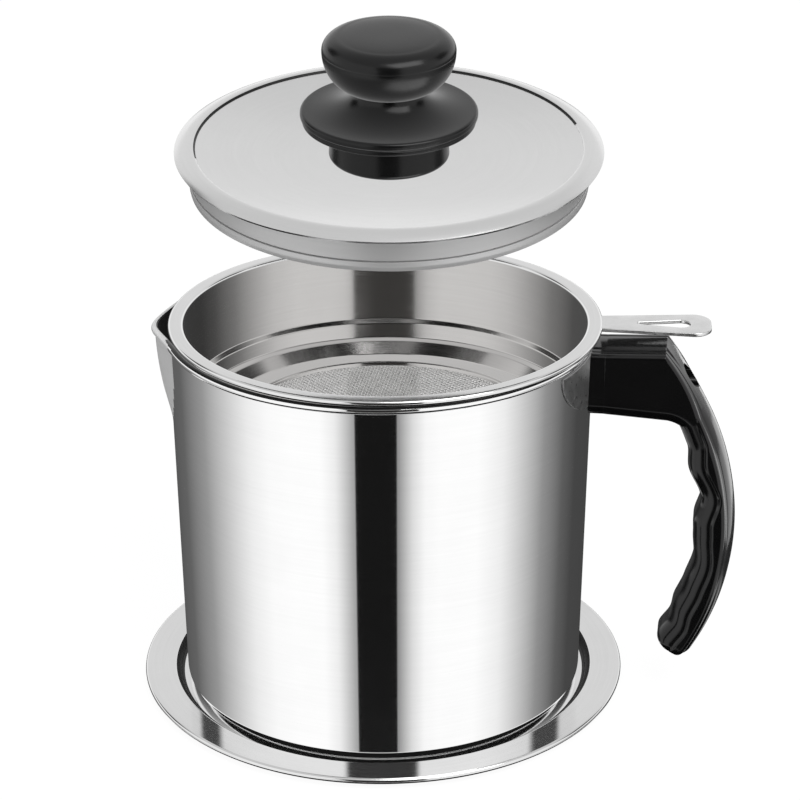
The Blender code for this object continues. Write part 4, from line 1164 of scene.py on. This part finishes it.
class AddHandle(Operator):
    """Moulded handle with its finger grooves and screw bore, and the ferrule behind it"""

    bl_idname = "strainer_pot.add_handle"
    bl_label = "Handle"

    def execute(self, context):
        obj = new_object("grip", lofted(handle_rings()))
        bore_end = POT_RIM_RADIUS + HANDLE_PROJECTION + CUT_OVERRUN
        pocket_end = boss_start() + BOSS_LENGTH + SEAT_GAP
        clearance = SCREW_RADIUS + SEAT_GAP
        profile = [(0, bore_end), (COUNTERBORE_RADIUS, bore_end), (COUNTERBORE_RADIUS, screw_seat()),
                   (clearance, screw_seat()), (clearance, pocket_end), (BOSS_POCKET_RADIUS, pocket_end),
                   (BOSS_POCKET_RADIUS, boss_start() - CUT_OVERRUN), (0, boss_start() - CUT_OVERRUN)]
        bore = lay_along_x(new_object("bore", turned(profile, SCREW_SEGMENTS)), BOSS_HEIGHT)
        cut(obj, bore)
        fit_piece(obj, handle_plastic(), "pot", "handle_plastic", "handle_grip")
        obj.visible_glossy = False
        self.add_ferrule()
        return {"FINISHED"}

    def add_ferrule(self):
        """Collar behind the arm, whose back follows the round saddle."""
        low = Vector((arm_start(), ARM_ROOT_BOTTOM))
        high = Vector((arm_start(), ARM_ROOT_TOP))
        section = handle_section(low, high, ARM_CROWN, 0, FERRULE_RIB, FERRULE_INSET)
        front = [Vector(point) for point in section]
        rings = []
        for share in FERRULE_SECTIONS:
            ring = []
            for point in front:
                wall = wall_radius(point.z) + SEAT_GAP
                near = math.sqrt(wall * wall - point.y * point.y)
                ring.append((near + (point.x - near) * share, point.y, point.z))
            rings.append(ring)
        obj = new_object("ferrule", lofted(rings))
        fit_piece(obj, handle_plastic(), "pot", "handle_plastic", "handle_ferrule")
        obj.visible_glossy = False


class AddHandleFixings(Operator):
    """Boss, screw and washer that hold the handle"""

    bl_idname = "strainer_pot.add_handle_fixings"
    bl_label = "Handle fixings"

    def execute(self, context):
        seat = screw_seat() + 2 * SEAT_GAP + HANDLE_WASHER_SHEET
        top = seat + SCREW_HEAD_HEIGHT + SCREW_HEAD_CROWN
        end = seat - SCREW_SHANK
        centre = (SCREW_HEAD_RADIUS - SCREW_HEAD_ROUND, top - SCREW_HEAD_ROUND)
        profile = [Vector((0, top))]
        profile += arc(centre, (SCREW_HEAD_ROUND, SCREW_HEAD_ROUND), RIGHT_ANGLE, 0, EDGE_STEPS)
        profile += [Vector((SCREW_HEAD_RADIUS, seat)), Vector((SCREW_RADIUS, seat)),
                    Vector((SCREW_RADIUS, end)), Vector((0, end))]
        screw = new_object("grip_screw", turned(profile, SCREW_SEGMENTS))
        cut(screw, new_object("recess", cross_recess(top, *SCREW_RECESS)))
        fit_piece(lay_along_x(screw, BOSS_HEIGHT), fixing_steel(), "pot", "screw_steel", "handle_screw")
        for node in ("handle_washer", "saddle_boss"):
            obj = frame["nodes"][node]
            obj.data.materials.clear()
            obj.data.materials.append(fixing_steel())
        return {"FINISHED"}


# Strainer


def on_ring(point):
    """Whether a point of the strainer lies on its rolled ring."""
    return point.z > RING_FINISH_EDGE or math.hypot(point.x, point.y) > CUP_OUTSIDE


def under_ring_shade(point):
    """Whether a point of the strainer gets painted shade: under its rolled ring, over the pot's rim."""
    return point.z < RING_SHADOW_TOP and math.hypot(point.x, point.y) > CUP_OUTSIDE


def fit_strainer_piece(obj, material, slot, *nodes):
    """Move a piece made about the strainer's own axis to where it lies in the pot, and fit it."""
    obj.matrix_world = Matrix.Translation((STRAINER_SHIFT, 0, 0))
    return fit_piece(obj, material, "strainer", slot, *nodes)


class AddStrainer(Operator):
    """Strainer cup with its ring, and the two rings that hold the mesh"""

    bl_idname = "strainer_pot.add_strainer"
    bl_label = "Strainer"

    def execute(self, context):
        face = rounded(CUP_FACE, MM)
        under = offset_path(face, STRAINER_SHEET)
        under[-1].x = RING_RADIUS - 2 * RING_ROLL_RADIUS
        centre = (RING_RADIUS - RING_ROLL_RADIUS, RING_HEIGHT)
        roll = arc(centre, (RING_ROLL_RADIUS, RING_ROLL_RADIUS), RIGHT_ANGLE, -HALF_TURN, BEAD_STEPS)
        cup = new_object("strainer_wall", turned(face[:-1] + roll + under[::-1], RING_SEGMENTS))
        fit_strainer_piece(cup, brushed_steel(), "brushed_steel", "strainer_cup")
        other_finish(cup, ring_steel(), on_ring)
        # Painted shade under the rolled ring, where it lies over the pot's rim
        other_finish(cup, painted_shade_steel(), under_ring_shade)
        cup.visible_glossy = False
        inner, outer = CLAMP_RADII
        low, high = CLAMP_HEIGHTS
        clamp = new_object("clamp_ring", turned([(outer, high), (outer, low), (inner, low), (inner, high)],
                                                RING_SEGMENTS))
        fit_strainer_piece(clamp, brushed_steel(), "brushed_steel", "mesh_clamp")
        clamp.visible_glossy = False
        inner, outer = FRAME_RADII
        low, high = FRAME_HEIGHTS
        bead = arc((inner, high), (FRAME_BEAD_RADIUS, FRAME_BEAD_RADIUS), HALF_TURN, 0, CORNER_STEPS)
        profile = bead + [(outer, high), (outer, low), (inner - FRAME_BEAD_RADIUS, low)]
        ring = new_object("frame_ring", turned(profile, RING_SEGMENTS))
        fit_strainer_piece(ring, brushed_steel(), "brushed_steel", "mesh_frame")
        ring.visible_glossy = False
        return {"FINISHED"}


class AddStrainerMesh(Operator):
    """Woven wire mesh in the strainer's bottom"""

    bl_idname = "strainer_pot.add_mesh"
    bl_label = "Strainer mesh"

    def execute(self, context):
        pitch = details().wire_pitch
        radius = details().wire_radius
        count = int(MESH_RADIUS / pitch)
        points = []
        faces = []
        for lengthwise in (True, False):
            for line in range(-count, count + 1):
                self.add_wire(points, faces, lengthwise, line, pitch, radius)
        mesh = bpy.data.meshes.new("wire_mesh")
        mesh.from_pydata(points, [], faces)
        mesh.shade_smooth()
        obj = bpy.data.objects.new("wire_mesh", mesh)
        context.scene.collection.objects.link(obj)
        obj.matrix_world = Matrix.Translation((STRAINER_SHIFT, 0, 0))
        obj.data.materials.append(wire_steel())
        obj.visible_glossy = False
        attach(obj, "strainer")
        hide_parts("strainer_mesh")
        return {"FINISHED"}

    def add_wire(self, points, faces, lengthwise, line, pitch, radius):
        """One wire as a four-sided tube that goes over and under those across it."""
        offset = line * pitch
        reach = math.sqrt(max(MESH_RADIUS ** 2 - offset ** 2, 0))
        steps = int(reach / pitch) * 2
        if steps < 2:
            return
        lift = radius if lengthwise else -radius
        first = len(points)
        for i in range(-steps, steps + 1):
            along = i * pitch / 2
            rise = MESH_MIDDLE + lift * math.cos(math.pi * (i / 2 + line)) * (0 if i % 2 else 1)
            for across, up in ((radius, 0), (0, radius), (-radius, 0), (0, -radius)):
                flat = (along, offset + across) if lengthwise else (offset + across, along)
                points.append((*flat, rise + up))
        for i in range(2 * steps):
            for side in range(4):
                a = first + 4 * i + side
                b = first + 4 * i + (side + 1) % 4
                faces.append((a, b, b + 4, a + 4) if lengthwise else (a, a + 4, b + 4, b))


class AddTab(Operator):
    """Lifting tab of the strainer, with its teardrop slot"""

    bl_idname = "strainer_pot.add_tab"
    bl_label = "Lifting tab"

    def execute(self, context):
        root = RING_RADIUS - TAB_ROOT_LAP
        half_root = TAB_ROOT_WIDTH / 2
        half_end = TAB_END_WIDTH / 2
        corner = arc((TAB_END - TAB_CORNER_RADIUS, half_end - TAB_CORNER_RADIUS),
                     (TAB_CORNER_RADIUS, TAB_CORNER_RADIUS), RIGHT_ANGLE, 0, SHOULDER_STEPS)
        half = arc((0, 0), (root, root), 0, math.asin(half_root / root), LIP_STEPS)[1:] + corner
        outline = [Vector((root, 0))] + half + [Vector((point.x, -point.y)) for point in half[::-1]]
        big = SLOT_WIDTH / 2
        small = SLOT_POINT_WIDTH / 2
        slot = arc((SLOT_END - SLOT_LENGTH + small, 0), (small, small), HALF_TURN, RIGHT_ANGLE, POINT_STEPS)
        slot += arc((SLOT_END - big, 0), (big, big), RIGHT_ANGLE, 0, BAND_STEPS)
        slot += [Vector((point.x, -point.y)) for point in slot[-2:0:-1]]
        curve = bpy.data.curves.new("tab", "CURVE")
        curve.dimensions = "2D"
        curve.fill_mode = "BOTH"
        curve.extrude = TAB_SHEET / 2 - TAB_EASE
        curve.bevel_depth = TAB_EASE
        curve.bevel_resolution = EASE_SEGMENTS
        curve.offset = -TAB_EASE
        for loop in (outline, slot):
            spline = curve.splines.new("POLY")
            spline.points.add(len(loop) - 1)
            for target, point in zip(spline.points, loop):
                target.co = (point.x, point.y, 0, 1)
            spline.use_cyclic_u = True
        drawn = bpy.data.objects.new("tab_outline", curve)
        bpy.context.scene.collection.objects.link(drawn)
        graph = bpy.context.evaluated_depsgraph_get()
        mesh = bpy.data.meshes.new_from_object(drawn.evaluated_get(graph))
        bpy.data.objects.remove(drawn, do_unlink=True)
        plate = bmesh.new()
        plate.from_mesh(mesh)
        bpy.data.meshes.remove(mesh)
        bmesh.ops.remove_doubles(plate, verts=plate.verts, dist=WELD_DISTANCE)
        place = Matrix.Translation((0, 0, RING_HEIGHT)) @ Matrix.Rotation(TAB_BEARING, 4, "Z")
        bmesh.ops.transform(plate, matrix=place, verts=plate.verts)
        fit_strainer_piece(new_object("lifting_tab", plate), tab_steel(), "brushed_steel", "strainer_tab")
        return {"FINISHED"}


# Lid and knob, built where they close the strainer


def lid_dish(radius):
    """Height of the lid's dished middle at a radius."""
    share = radius / LID_FOOT_RADIUS
    return LID_FOOT_TOP - LID_DISH_DEPTH * (1 - share * share)


def in_crease_shade(point):
    """Whether a point of the closed lid gets painted shade: on the step behind its dish, at the back of the
    lid.
    """
    bearing = math.atan2(point.y, point.x) % FULL_TURN
    low, high = LID_CREASE_ENDS
    on_step = LID_FOOT_RADIUS - LID_CREASE_LAP < math.hypot(point.x, point.y) < LID_CREASE_EDGE
    return on_step and low < bearing < high and point.z > LID_FOOT_TOP - LID_CREASE_DEPTH


def fit_lid_piece(obj, material, slot, *nodes):
    """Lift a piece of the closed lid to where the photograph holds it, and fit it."""
    obj.matrix_world = lid_place()
    if material.name == "knob_moulding":
        obj.visible_glossy = False
    return fit_piece(obj, material, "lid", slot, *nodes)


class AddLid(Operator):
    """Lid sheet with its raised rim and dished middle, and the skirt under it"""

    bl_idname = "strainer_pot.add_lid"
    bl_label = "Lid"

    def execute(self, context):
        face = []
        for i in range(BELL_STEPS):
            radius = LID_HOLE_RADIUS + (LID_FOOT_RADIUS - LID_HOLE_RADIUS) * i / BELL_STEPS
            face.append(Vector((radius, lid_dish(radius))))
        run = (LID_CREST_RADIUS - LID_FOOT_RADIUS, LID_CREST_TOP - LID_FOOT_TOP)
        face += arc((LID_CREST_RADIUS, LID_FOOT_TOP), run, HALF_TURN, RIGHT_ANGLE, CREST_STEPS)
        for i in range(1, CORNER_STEPS + 1):
            share = i / CORNER_STEPS
            radius = LID_CREST_RADIUS + (LID_RADIUS - LID_CREST_RADIUS) * share
            height = LID_EDGE_TOP + (LID_CREST_TOP - LID_EDGE_TOP) * (1 - share * share)
            face.append(Vector((radius, height)))
        under = offset_path(face, LID_SHEET)
        under[0].x = LID_HOLE_RADIUS
        sheet = new_object("lid_sheet", turned(face + under[::-1], POT_SEGMENTS))
        ease_edges(sheet, LID_EASE, LID_EASE_ANGLE)
        apply_modifiers(sheet)
        fit_lid_piece(sheet, lid_steel(), "satin_lid_steel", "lid_plate")
        # Painted shade in the step at the back of the lid
        other_finish(sheet, crease_shade_steel(), in_crease_shade)
        self.add_skirt()
        return {"FINISHED"}

    def add_skirt(self):
        """Band under the lid with a groove above its rounded hem."""
        top = LID_FOOT_TOP - LID_SHEET - SHOWN_GAP
        low = LID_FOOT_TOP - LID_SHEET - SEAT_GAP - SKIRT_DEPTH
        hem = low + HEM_HEIGHT
        middle = low + HEM_HEIGHT / 2
        outer = LID_CREST_RADIUS + SEAT_GAP
        inner = outer - SKIRT_SHEET
        shoulder = HEM_PROUD * HEM_SHOULDER_SHARE
        foot = HEM_PROUD * HEM_FOOT_SHARE
        corners = ((outer, top), (outer, hem + HEM_GROOVE_HEIGHT), (outer - details().hem_groove, hem),
                   (outer + shoulder, hem - HEM_GROOVE_STEP), (outer + HEM_PROUD, middle),
                   (outer + foot, low), (inner - foot, low), (inner - HEM_PROUD, middle),
                   (inner - foot, hem), (inner, hem + HEM_PROUD), (inner, top))
        profile = rounded([(*corner, fillet * MM) for corner, fillet in zip(corners, SKIRT_FILLETS)])
        skirt = new_object("lid_skirt_band", turned(profile, POT_SEGMENTS))
        fit_lid_piece(skirt, skirt_steel(), "satin_lid_steel", "lid_skirt")


class AddKnob(Operator):
    """Knob with its head, neck and bell, the ring under it and the collar on the lid"""

    bl_idname = "strainer_pot.add_knob"
    bl_label = "Knob"

    def execute(self, context):
        bore = SCREW_RADIUS + SEAT_GAP
        foot = lid_dish(COLLAR_RADIUS) + SHOWN_GAP
        top = lid_dish(COLLAR_RADIUS) + SEAT_GAP + COLLAR_HEIGHT
        profile = [Vector((COLLAR_RADIUS - COLLAR_TAPER, top))]
        profile += arc((COLLAR_RADIUS - COLLAR_EDGE, foot + COLLAR_EDGE), (COLLAR_EDGE, COLLAR_EDGE), 0,
                       -RIGHT_ANGLE, CREST_STEPS)
        profile += [Vector((bore, foot)), Vector((bore, top))]
        collar = new_object("collar", turned(profile, KNOB_SEGMENTS))
        fit_lid_piece(collar, knob_plastic(), "knob_plastic", "knob_collar")
        low = top + SEAT_GAP
        high = low + BASE_RING_HEIGHT
        profile = rounded(((bore, high, 0), (BASE_RING_RADIUS, high, BASE_RING_ROUND),
                           (BASE_RING_RADIUS, low, BASE_RING_ROUND), (bore, low, 0)))
        ring = new_object("base_ring", turned(profile, KNOB_SEGMENTS))
        fit_lid_piece(ring, knob_plastic(), "knob_plastic", "knob_base_ring")
        self.add_grip(high + SEAT_GAP)
        return {"FINISHED"}

    def add_grip(self, foot):
        """Head, neck and bell in one turned piece, with the line where its mould parted."""
        rim_top = foot + KNOB_RIM_HEIGHT
        neck = foot + KNOB_BELL_HEIGHT
        widest = neck + KNOB_HEAD_BELLY
        top = widest + KNOB_HEAD_SHOULDER
        bell_edge = KNOB_RIM_RADIUS - KNOB_LIP
        above, below = PARTING_ANGLES
        profile = [Vector((0, top + KNOB_CROWN))]
        for share in KNOB_CROWN_SHARES:
            profile.append(Vector((KNOB_TOP_RADIUS * share, top + KNOB_CROWN * (1 - share ** 4))))
        shoulder = (KNOB_HEAD_RADIUS - KNOB_TOP_RADIUS, KNOB_HEAD_SHOULDER)
        profile += arc((KNOB_TOP_RADIUS, widest), shoulder, RIGHT_ANGLE, above, SHOULDER_STEPS)
        profile.append(Vector((KNOB_HEAD_RADIUS - details().parting_line, widest)))
        belly = (KNOB_HEAD_RADIUS - KNOB_NECK_RADIUS, KNOB_HEAD_BELLY)
        profile += arc((KNOB_NECK_RADIUS, widest), belly, below, -RIGHT_ANGLE, BELL_STEPS)
        bell = (bell_edge - KNOB_NECK_RADIUS, neck - rim_top)
        profile += arc((bell_edge, neck), bell, -HALF_TURN, -RIGHT_ANGLE, BELL_STEPS)[1:]
        profile += arc((bell_edge, rim_top - KNOB_LIP), (KNOB_LIP, KNOB_LIP), RIGHT_ANGLE, 0, EDGE_STEPS)[1:]
        profile += arc((bell_edge, foot + KNOB_LIP / 2), (KNOB_LIP, KNOB_LIP / 2), 0, -RIGHT_ANGLE, LIP_STEPS)
        pocket_top = foot + INSERT_POCKET_DEPTH
        profile += [Vector((INSERT_POCKET_RADIUS, foot)), Vector((INSERT_POCKET_RADIUS, pocket_top)),
                    Vector((0, pocket_top))]
        grip = new_object("knob_head", turned(profile, KNOB_SEGMENTS))
        fit_lid_piece(grip, knob_plastic(), "knob_plastic", "knob_grip")


class AddKnobFixings(Operator):
    """Insert, washer and screw that hold the knob"""

    bl_idname = "strainer_pot.add_knob_fixings"
    bl_label = "Knob fixings"

    def execute(self, context):
        seat = lid_dish(0) - LID_SHEET - 2 * SEAT_GAP - KNOB_WASHER_SHEET
        low = seat - KNOB_SCREW_HEAD_HEIGHT
        bell_foot = lid_dish(COLLAR_RADIUS) + 3 * SEAT_GAP + COLLAR_HEIGHT + BASE_RING_HEIGHT
        end = bell_foot + KNOB_SCREW_REACH
        profile = [Vector((0, end)), Vector((SCREW_RADIUS, end)), Vector((SCREW_RADIUS, seat)),
                   Vector((KNOB_SCREW_HEAD_RADIUS, seat))]
        profile += arc((KNOB_SCREW_HEAD_RADIUS - KNOB_SCREW_ROUND, low + KNOB_SCREW_ROUND),
                       (KNOB_SCREW_ROUND, KNOB_SCREW_ROUND), 0, -RIGHT_ANGLE, EDGE_STEPS)
        profile.append(Vector((0, low)))
        screw = new_object("lid_screw", turned(profile, SCREW_SEGMENTS))
        cut(screw, new_object("recess", cross_recess(low, *KNOB_SCREW_RECESS)))
        fit_lid_piece(screw, fixing_steel(), "screw_steel", "knob_screw")
        screw.visible_glossy = False
        inner, outer = KNOB_WASHER_RADII
        under = seat + SEAT_GAP
        upper = under + KNOB_WASHER_SHEET
        profile = rounded(((inner, upper, 0), (outer, upper, KNOB_WASHER_ROUND),
                           (outer, under, KNOB_WASHER_ROUND), (inner, under, 0)))
        washer = new_object("lid_washer", turned(profile, SCREW_SEGMENTS))
        fit_lid_piece(washer, fixing_steel(), "screw_steel", "knob_washer")
        insert = frame["nodes"]["knob_insert"]
        insert.data.materials.clear()
        insert.data.materials.append(insert_brass())
        insert.visible_glossy = False
        return {"FINISHED"}


# Studio


def colour_stops(ramp, stops):
    """Set a ramp's stops from (degrees from the camera's bearing, brightness)."""
    elements = ramp.color_ramp.elements
    while len(elements) > 1:
        elements.remove(elements[-1])
    for i, (bearing, brightness) in enumerate(stops):
        place = 0.5 + bearing * DEGREE / FULL_TURN
        element = elements[0] if i == 0 else elements.new(place)
        element.position = place
        element.color = (brightness, brightness, brightness, 1)


class AddStage(Operator):
    """Floor, light and camera"""

    bl_idname = "strainer_pot.add_stage"
    bl_label = "Stage"

    def execute(self, context):
        self.add_floor(context)
        self.add_reflected_pot()
        self.add_room(context)
        self.add_lamp(context)
        self.add_table_light(context)
        self.add_camera(context)
        context.scene.view_settings.view_transform = "Standard"
        return {"FINISHED"}

    def add_floor(self, context):
        """Pale floor that keeps the shadow of the pot."""
        studio = context.scene.pot_studio
        reach = FLOOR_REACH
        corners = [(-reach, -reach, 0), (reach, -reach, 0), (reach, reach, 0), (-reach, reach, 0)]
        mesh = bpy.data.meshes.new("floor")
        mesh.from_pydata(corners, [], [range(len(corners))])
        floor = bpy.data.objects.new("floor", mesh)
        context.scene.collection.objects.link(floor)
        floor.location.z = -FLOOR_DROP
        floor.visible_glossy = False
        material = bpy.data.materials.new("floor")
        material.use_nodes = True
        tree = material.node_tree
        tree.nodes.clear()
        end = tree.nodes.new("ShaderNodeOutputMaterial")
        paper = tree.nodes.new("ShaderNodeBsdfDiffuse")
        paper.inputs["Color"].default_value = (*studio.floor, 1)
        white = tree.nodes.new("ShaderNodeEmission")
        white.inputs["Strength"].default_value = studio.floor_white
        path = tree.nodes.new("ShaderNodeLightPath")
        share = math_node(tree, "MULTIPLY", path.outputs["Is Camera Ray"], studio.floor_lift)
        mix = tree.nodes.new("ShaderNodeMixShader")
        tree.links.new(share, mix.inputs[0])
        tree.links.new(paper.outputs[0], mix.inputs[1])
        tree.links.new(white.outputs[0], mix.inputs[2])
        tree.links.new(mix.outputs[0], end.inputs["Surface"])
        mesh.materials.append(material)

    def add_reflected_pot(self):
        """Lower part of the pot's outside, which only reflections show.

        It stands for the pot there, which is hidden from reflections so that it doesn't mirror itself.
        """
        face = offset_path(pot_outside(REFLECTED_HEIGHT), -POT_WALL / 2)
        profile = [Vector((0, face[0].y)), *face[1:], Vector((0, REFLECTED_HEIGHT))]
        stand_in = new_object("reflected_pot", turned(profile, POT_SEGMENTS))
        stand_in.data.materials.append(polished_steel())
        stand_in.visible_camera = False
        stand_in.visible_diffuse = False
        stand_in.visible_transmission = False
        stand_in.visible_shadow = False

    def add_room(self, context):
        """Plain light all round, white to the camera, with softboxes and cards where the steel shows them."""
        studio = context.scene.pot_studio
        world = bpy.data.worlds.new("studio")
        context.scene.world = world
        world.use_nodes = True
        world.cycles.sampling_method = "NONE"
        tree = world.node_tree
        tree.nodes.clear()
        end = tree.nodes.new("ShaderNodeOutputWorld")
        room = tree.nodes.new("ShaderNodeBackground")
        coordinates = tree.nodes.new("ShaderNodeTexCoord")
        turn = tree.nodes.new("ShaderNodeVectorRotate")
        turn.rotation_type = "Z_AXIS"
        turn.inputs["Angle"].default_value = -CAMERA_BEARING
        tree.links.new(coordinates.outputs["Generated"], turn.inputs["Vector"])
        split = tree.nodes.new("ShaderNodeSeparateXYZ")
        tree.links.new(turn.outputs[0], split.inputs[0])
        bearing = math_node(tree, "ARCTAN2", split.outputs[1], split.outputs[0])
        height = split.outputs[2]
        share = math_node(tree, "ADD", math_node(tree, "DIVIDE", bearing, FULL_TURN), 0.5)
        low, high = (tree.nodes.new("ShaderNodeValToRGB") for _ in range(2))
        for ramp, stops in ((low, LOW_STUDIO), (high, HIGH_STUDIO)):
            colour_stops(ramp, stops)
            tree.links.new(share, ramp.inputs[0])
        card = self.colour(tree, CARD_COLOUR)
        line = self.colour(tree, LINE_COLOUR)
        wide = self.smooth_step(tree, height, *NARROW_TO_WIDE)
        before_wide_card = self.between(tree, bearing, *WIDE_CARD_EDGES)
        wide_card = math_node(tree, "MULTIPLY", before_wide_card, wide)
        narrow_card = math_node(tree, "MULTIPLY", self.between(tree, bearing, *CARD_EDGES),
                                math_node(tree, "SUBTRACT", 1, wide))
        steel = self.blend(tree, wide_card, low.outputs[0], self.colour(tree, WIDE_CARD_COLOUR))
        steel = self.blend(tree, narrow_card, steel, card)
        steel = self.blend(tree, self.smooth_step(tree, height, *LINE_TO_LOW), line, steel)
        steel = self.blend(tree, self.smooth_step(tree, height, *BLACK_TO_LINE), card, steel)
        level = self.blend(tree, before_wide_card, line, card)
        steel = self.blend(tree, self.smooth_step(tree, height, *LOW_TO_LEVEL), steel, level)
        steel = self.blend(tree, self.smooth_step(tree, height, *LEVEL_TO_HIGH), steel, high.outputs[0])
        top = self.colour(tree, TOP_COLOUR)
        steel = self.blend(tree, self.smooth_step(tree, height, *HIGH_TO_TOP), steel, top)
        bright = tree.nodes.new("ShaderNodeMix")
        bright.data_type = "RGBA"
        bright.blend_type = "MULTIPLY"
        bright.inputs["Factor"].default_value = 1
        bright.inputs["B"].default_value = (studio.softbox, studio.softbox, studio.softbox, 1)
        tree.links.new(steel, bright.inputs["A"])
        path = tree.nodes.new("ShaderNodeLightPath")
        plain = self.colour(tree, (studio.ambient, studio.ambient, studio.ambient))
        seen = self.blend(tree, path.outputs["Is Glossy Ray"], plain, bright.outputs["Result"])
        shown = math_node(tree, "MAXIMUM", path.outputs["Is Camera Ray"], path.outputs["Is Transmission Ray"])
        final = self.blend(tree, shown, seen, self.colour(tree, (1, 1, 1)))
        tree.links.new(final, room.inputs["Color"])
        tree.links.new(room.outputs[0], end.inputs["Surface"])

    def colour(self, tree, colour):
        """A plain colour for the world's nodes."""
        node = tree.nodes.new("ShaderNodeRGB")
        node.outputs[0].default_value = (*colour, 1)
        return node.outputs[0]

    def smooth_step(self, tree, height, low, high):
        """A value that goes from 0 to 1 between two elevations in degrees."""
        step = tree.nodes.new("ShaderNodeMapRange")
        step.interpolation_type = "SMOOTHSTEP"
        step.inputs["From Min"].default_value = math.sin(low * DEGREE)
        step.inputs["From Max"].default_value = math.sin(high * DEGREE)
        tree.links.new(height, step.inputs["Value"])
        return step.outputs[0]

    def between(self, tree, bearing, left, right):
        """A value that is 1 between two bearings in degrees, with crisp edges, and 0 elsewhere."""
        sides = []
        for edge, sign in ((left, 1), (right, -1)):
            step = tree.nodes.new("ShaderNodeMapRange")
            step.inputs["From Min"].default_value = (edge - sign * CARD_SOFTNESS) * DEGREE
            step.inputs["From Max"].default_value = (edge + sign * CARD_SOFTNESS) * DEGREE
            tree.links.new(bearing, step.inputs["Value"])
            sides.append(step.outputs[0])
        return math_node(tree, "MULTIPLY", *sides)

    def blend(self, tree, share, first, second):
        """The first colour where the share is 0, the second where it is 1."""
        mix = tree.nodes.new("ShaderNodeMix")
        mix.data_type = "RGBA"
        tree.links.new(share, mix.inputs["Factor"])
        tree.links.new(first, mix.inputs["A"])
        tree.links.new(second, mix.inputs["B"])
        return mix.outputs["Result"]

    def add_lamp(self, context):
        """One broad soft lamp above, for the shadow under the lid and the shine on the plastics."""
        light = bpy.data.lights.new("top_softbox", "AREA")
        light.shape = "RECTANGLE"
        light.size, light.size_y = LAMP_SIZE
        light.energy = LAMP_ENERGY
        lamp = bpy.data.objects.new("top_softbox", light)
        context.scene.collection.objects.link(lamp)
        lamp.location = LAMP_PLACE
        aim = Vector(LAMP_AIM) - lamp.location
        lamp.rotation_euler = aim.to_track_quat("-Z", "Y").to_euler()

    def add_table_light(self, context):
        """White table behind the handle, which only the handle's gloss shows."""
        light = bpy.data.lights.new("white_table", "AREA")
        light.shape = "SQUARE"
        light.size = TABLE_SIZE
        light.energy = context.scene.pot_studio.table * math.pi * TABLE_SIZE ** 2
        table = bpy.data.objects.new("white_table", light)
        context.scene.collection.objects.link(table)
        table.location = TABLE_PLACE
        table.rotation_euler = (HALF_TURN, 0, 0)
        table.visible_camera = False
        shown = bpy.data.collections.new("lit_by_white_table")
        for name in ("grip", "ferrule"):
            shown.objects.link(bpy.data.objects[name])
        table.light_linking.receiver_collection = shown

    def add_camera(self, context):
        """Camera fitted to the photograph."""
        lens = bpy.data.cameras.new("photo_camera")
        lens.lens = context.scene.pot_studio.lens
        lens.sensor_width = SENSOR_WIDTH
        camera = bpy.data.objects.new("photo_camera", lens)
        context.scene.collection.objects.link(camera)
        right = Vector(CAMERA_RIGHT).normalized()
        up = Vector(CAMERA_UP).normalized()
        back = right.cross(up).normalized()
        up = back.cross(right)
        turn = Matrix((right, up, back)).transposed().to_4x4()
        camera.matrix_world = Matrix.Translation(CAMERA_PLACE) @ turn
        context.scene.camera = camera


OPERATORS = (AddTray, AddPot, AddHandle, AddHandleFixings, AddStrainer, AddStrainerMesh, AddTab, AddLid,
             AddKnob, AddKnobFixings, AddStage)


class StrainerPotPanel(Panel):
    """Panel that lists the pieces, their sizes and finishes"""

    bl_idname = "VIEW3D_PT_strainer_pot"
    bl_label = "Strainer pot"
    bl_space_type = "VIEW_3D"
    bl_region_type = "UI"
    bl_category = "Strainer pot"

    def draw(self, context):
        for operator in OPERATORS:
            self.layout.operator(operator.bl_idname)
        for group in (context.scene.pot_details, context.scene.pot_finishes, context.scene.pot_studio):
            box = self.layout.box()
            for name in group.__annotations__:
                box.prop(group, name)


CLASSES = (PotDetails, PotFinishes, PotStudio, *OPERATORS, StrainerPotPanel)


def register():
    for cls in CLASSES:
        bpy.utils.register_class(cls)
    bpy.types.Scene.pot_details = PointerProperty(type=PotDetails)
    bpy.types.Scene.pot_finishes = PointerProperty(type=PotFinishes)
    bpy.types.Scene.pot_studio = PointerProperty(type=PotStudio)


def unregister():
    del bpy.types.Scene.pot_studio
    del bpy.types.Scene.pot_finishes
    del bpy.types.Scene.pot_details
    for cls in reversed(CLASSES):
        bpy.utils.unregister_class(cls)


def main():
    register()
    bpy.ops.strainer_pot.add_tray()
    bpy.ops.strainer_pot.add_pot()
    bpy.ops.strainer_pot.add_handle()
    bpy.ops.strainer_pot.add_handle_fixings()
    bpy.ops.strainer_pot.add_strainer()
    bpy.ops.strainer_pot.add_mesh()
    bpy.ops.strainer_pot.add_tab()
    bpy.ops.strainer_pot.add_lid()
    bpy.ops.strainer_pot.add_knob()
    bpy.ops.strainer_pot.add_knob_fixings()
    bpy.ops.strainer_pot.add_stage()


if __name__ == "__main__":
    main()
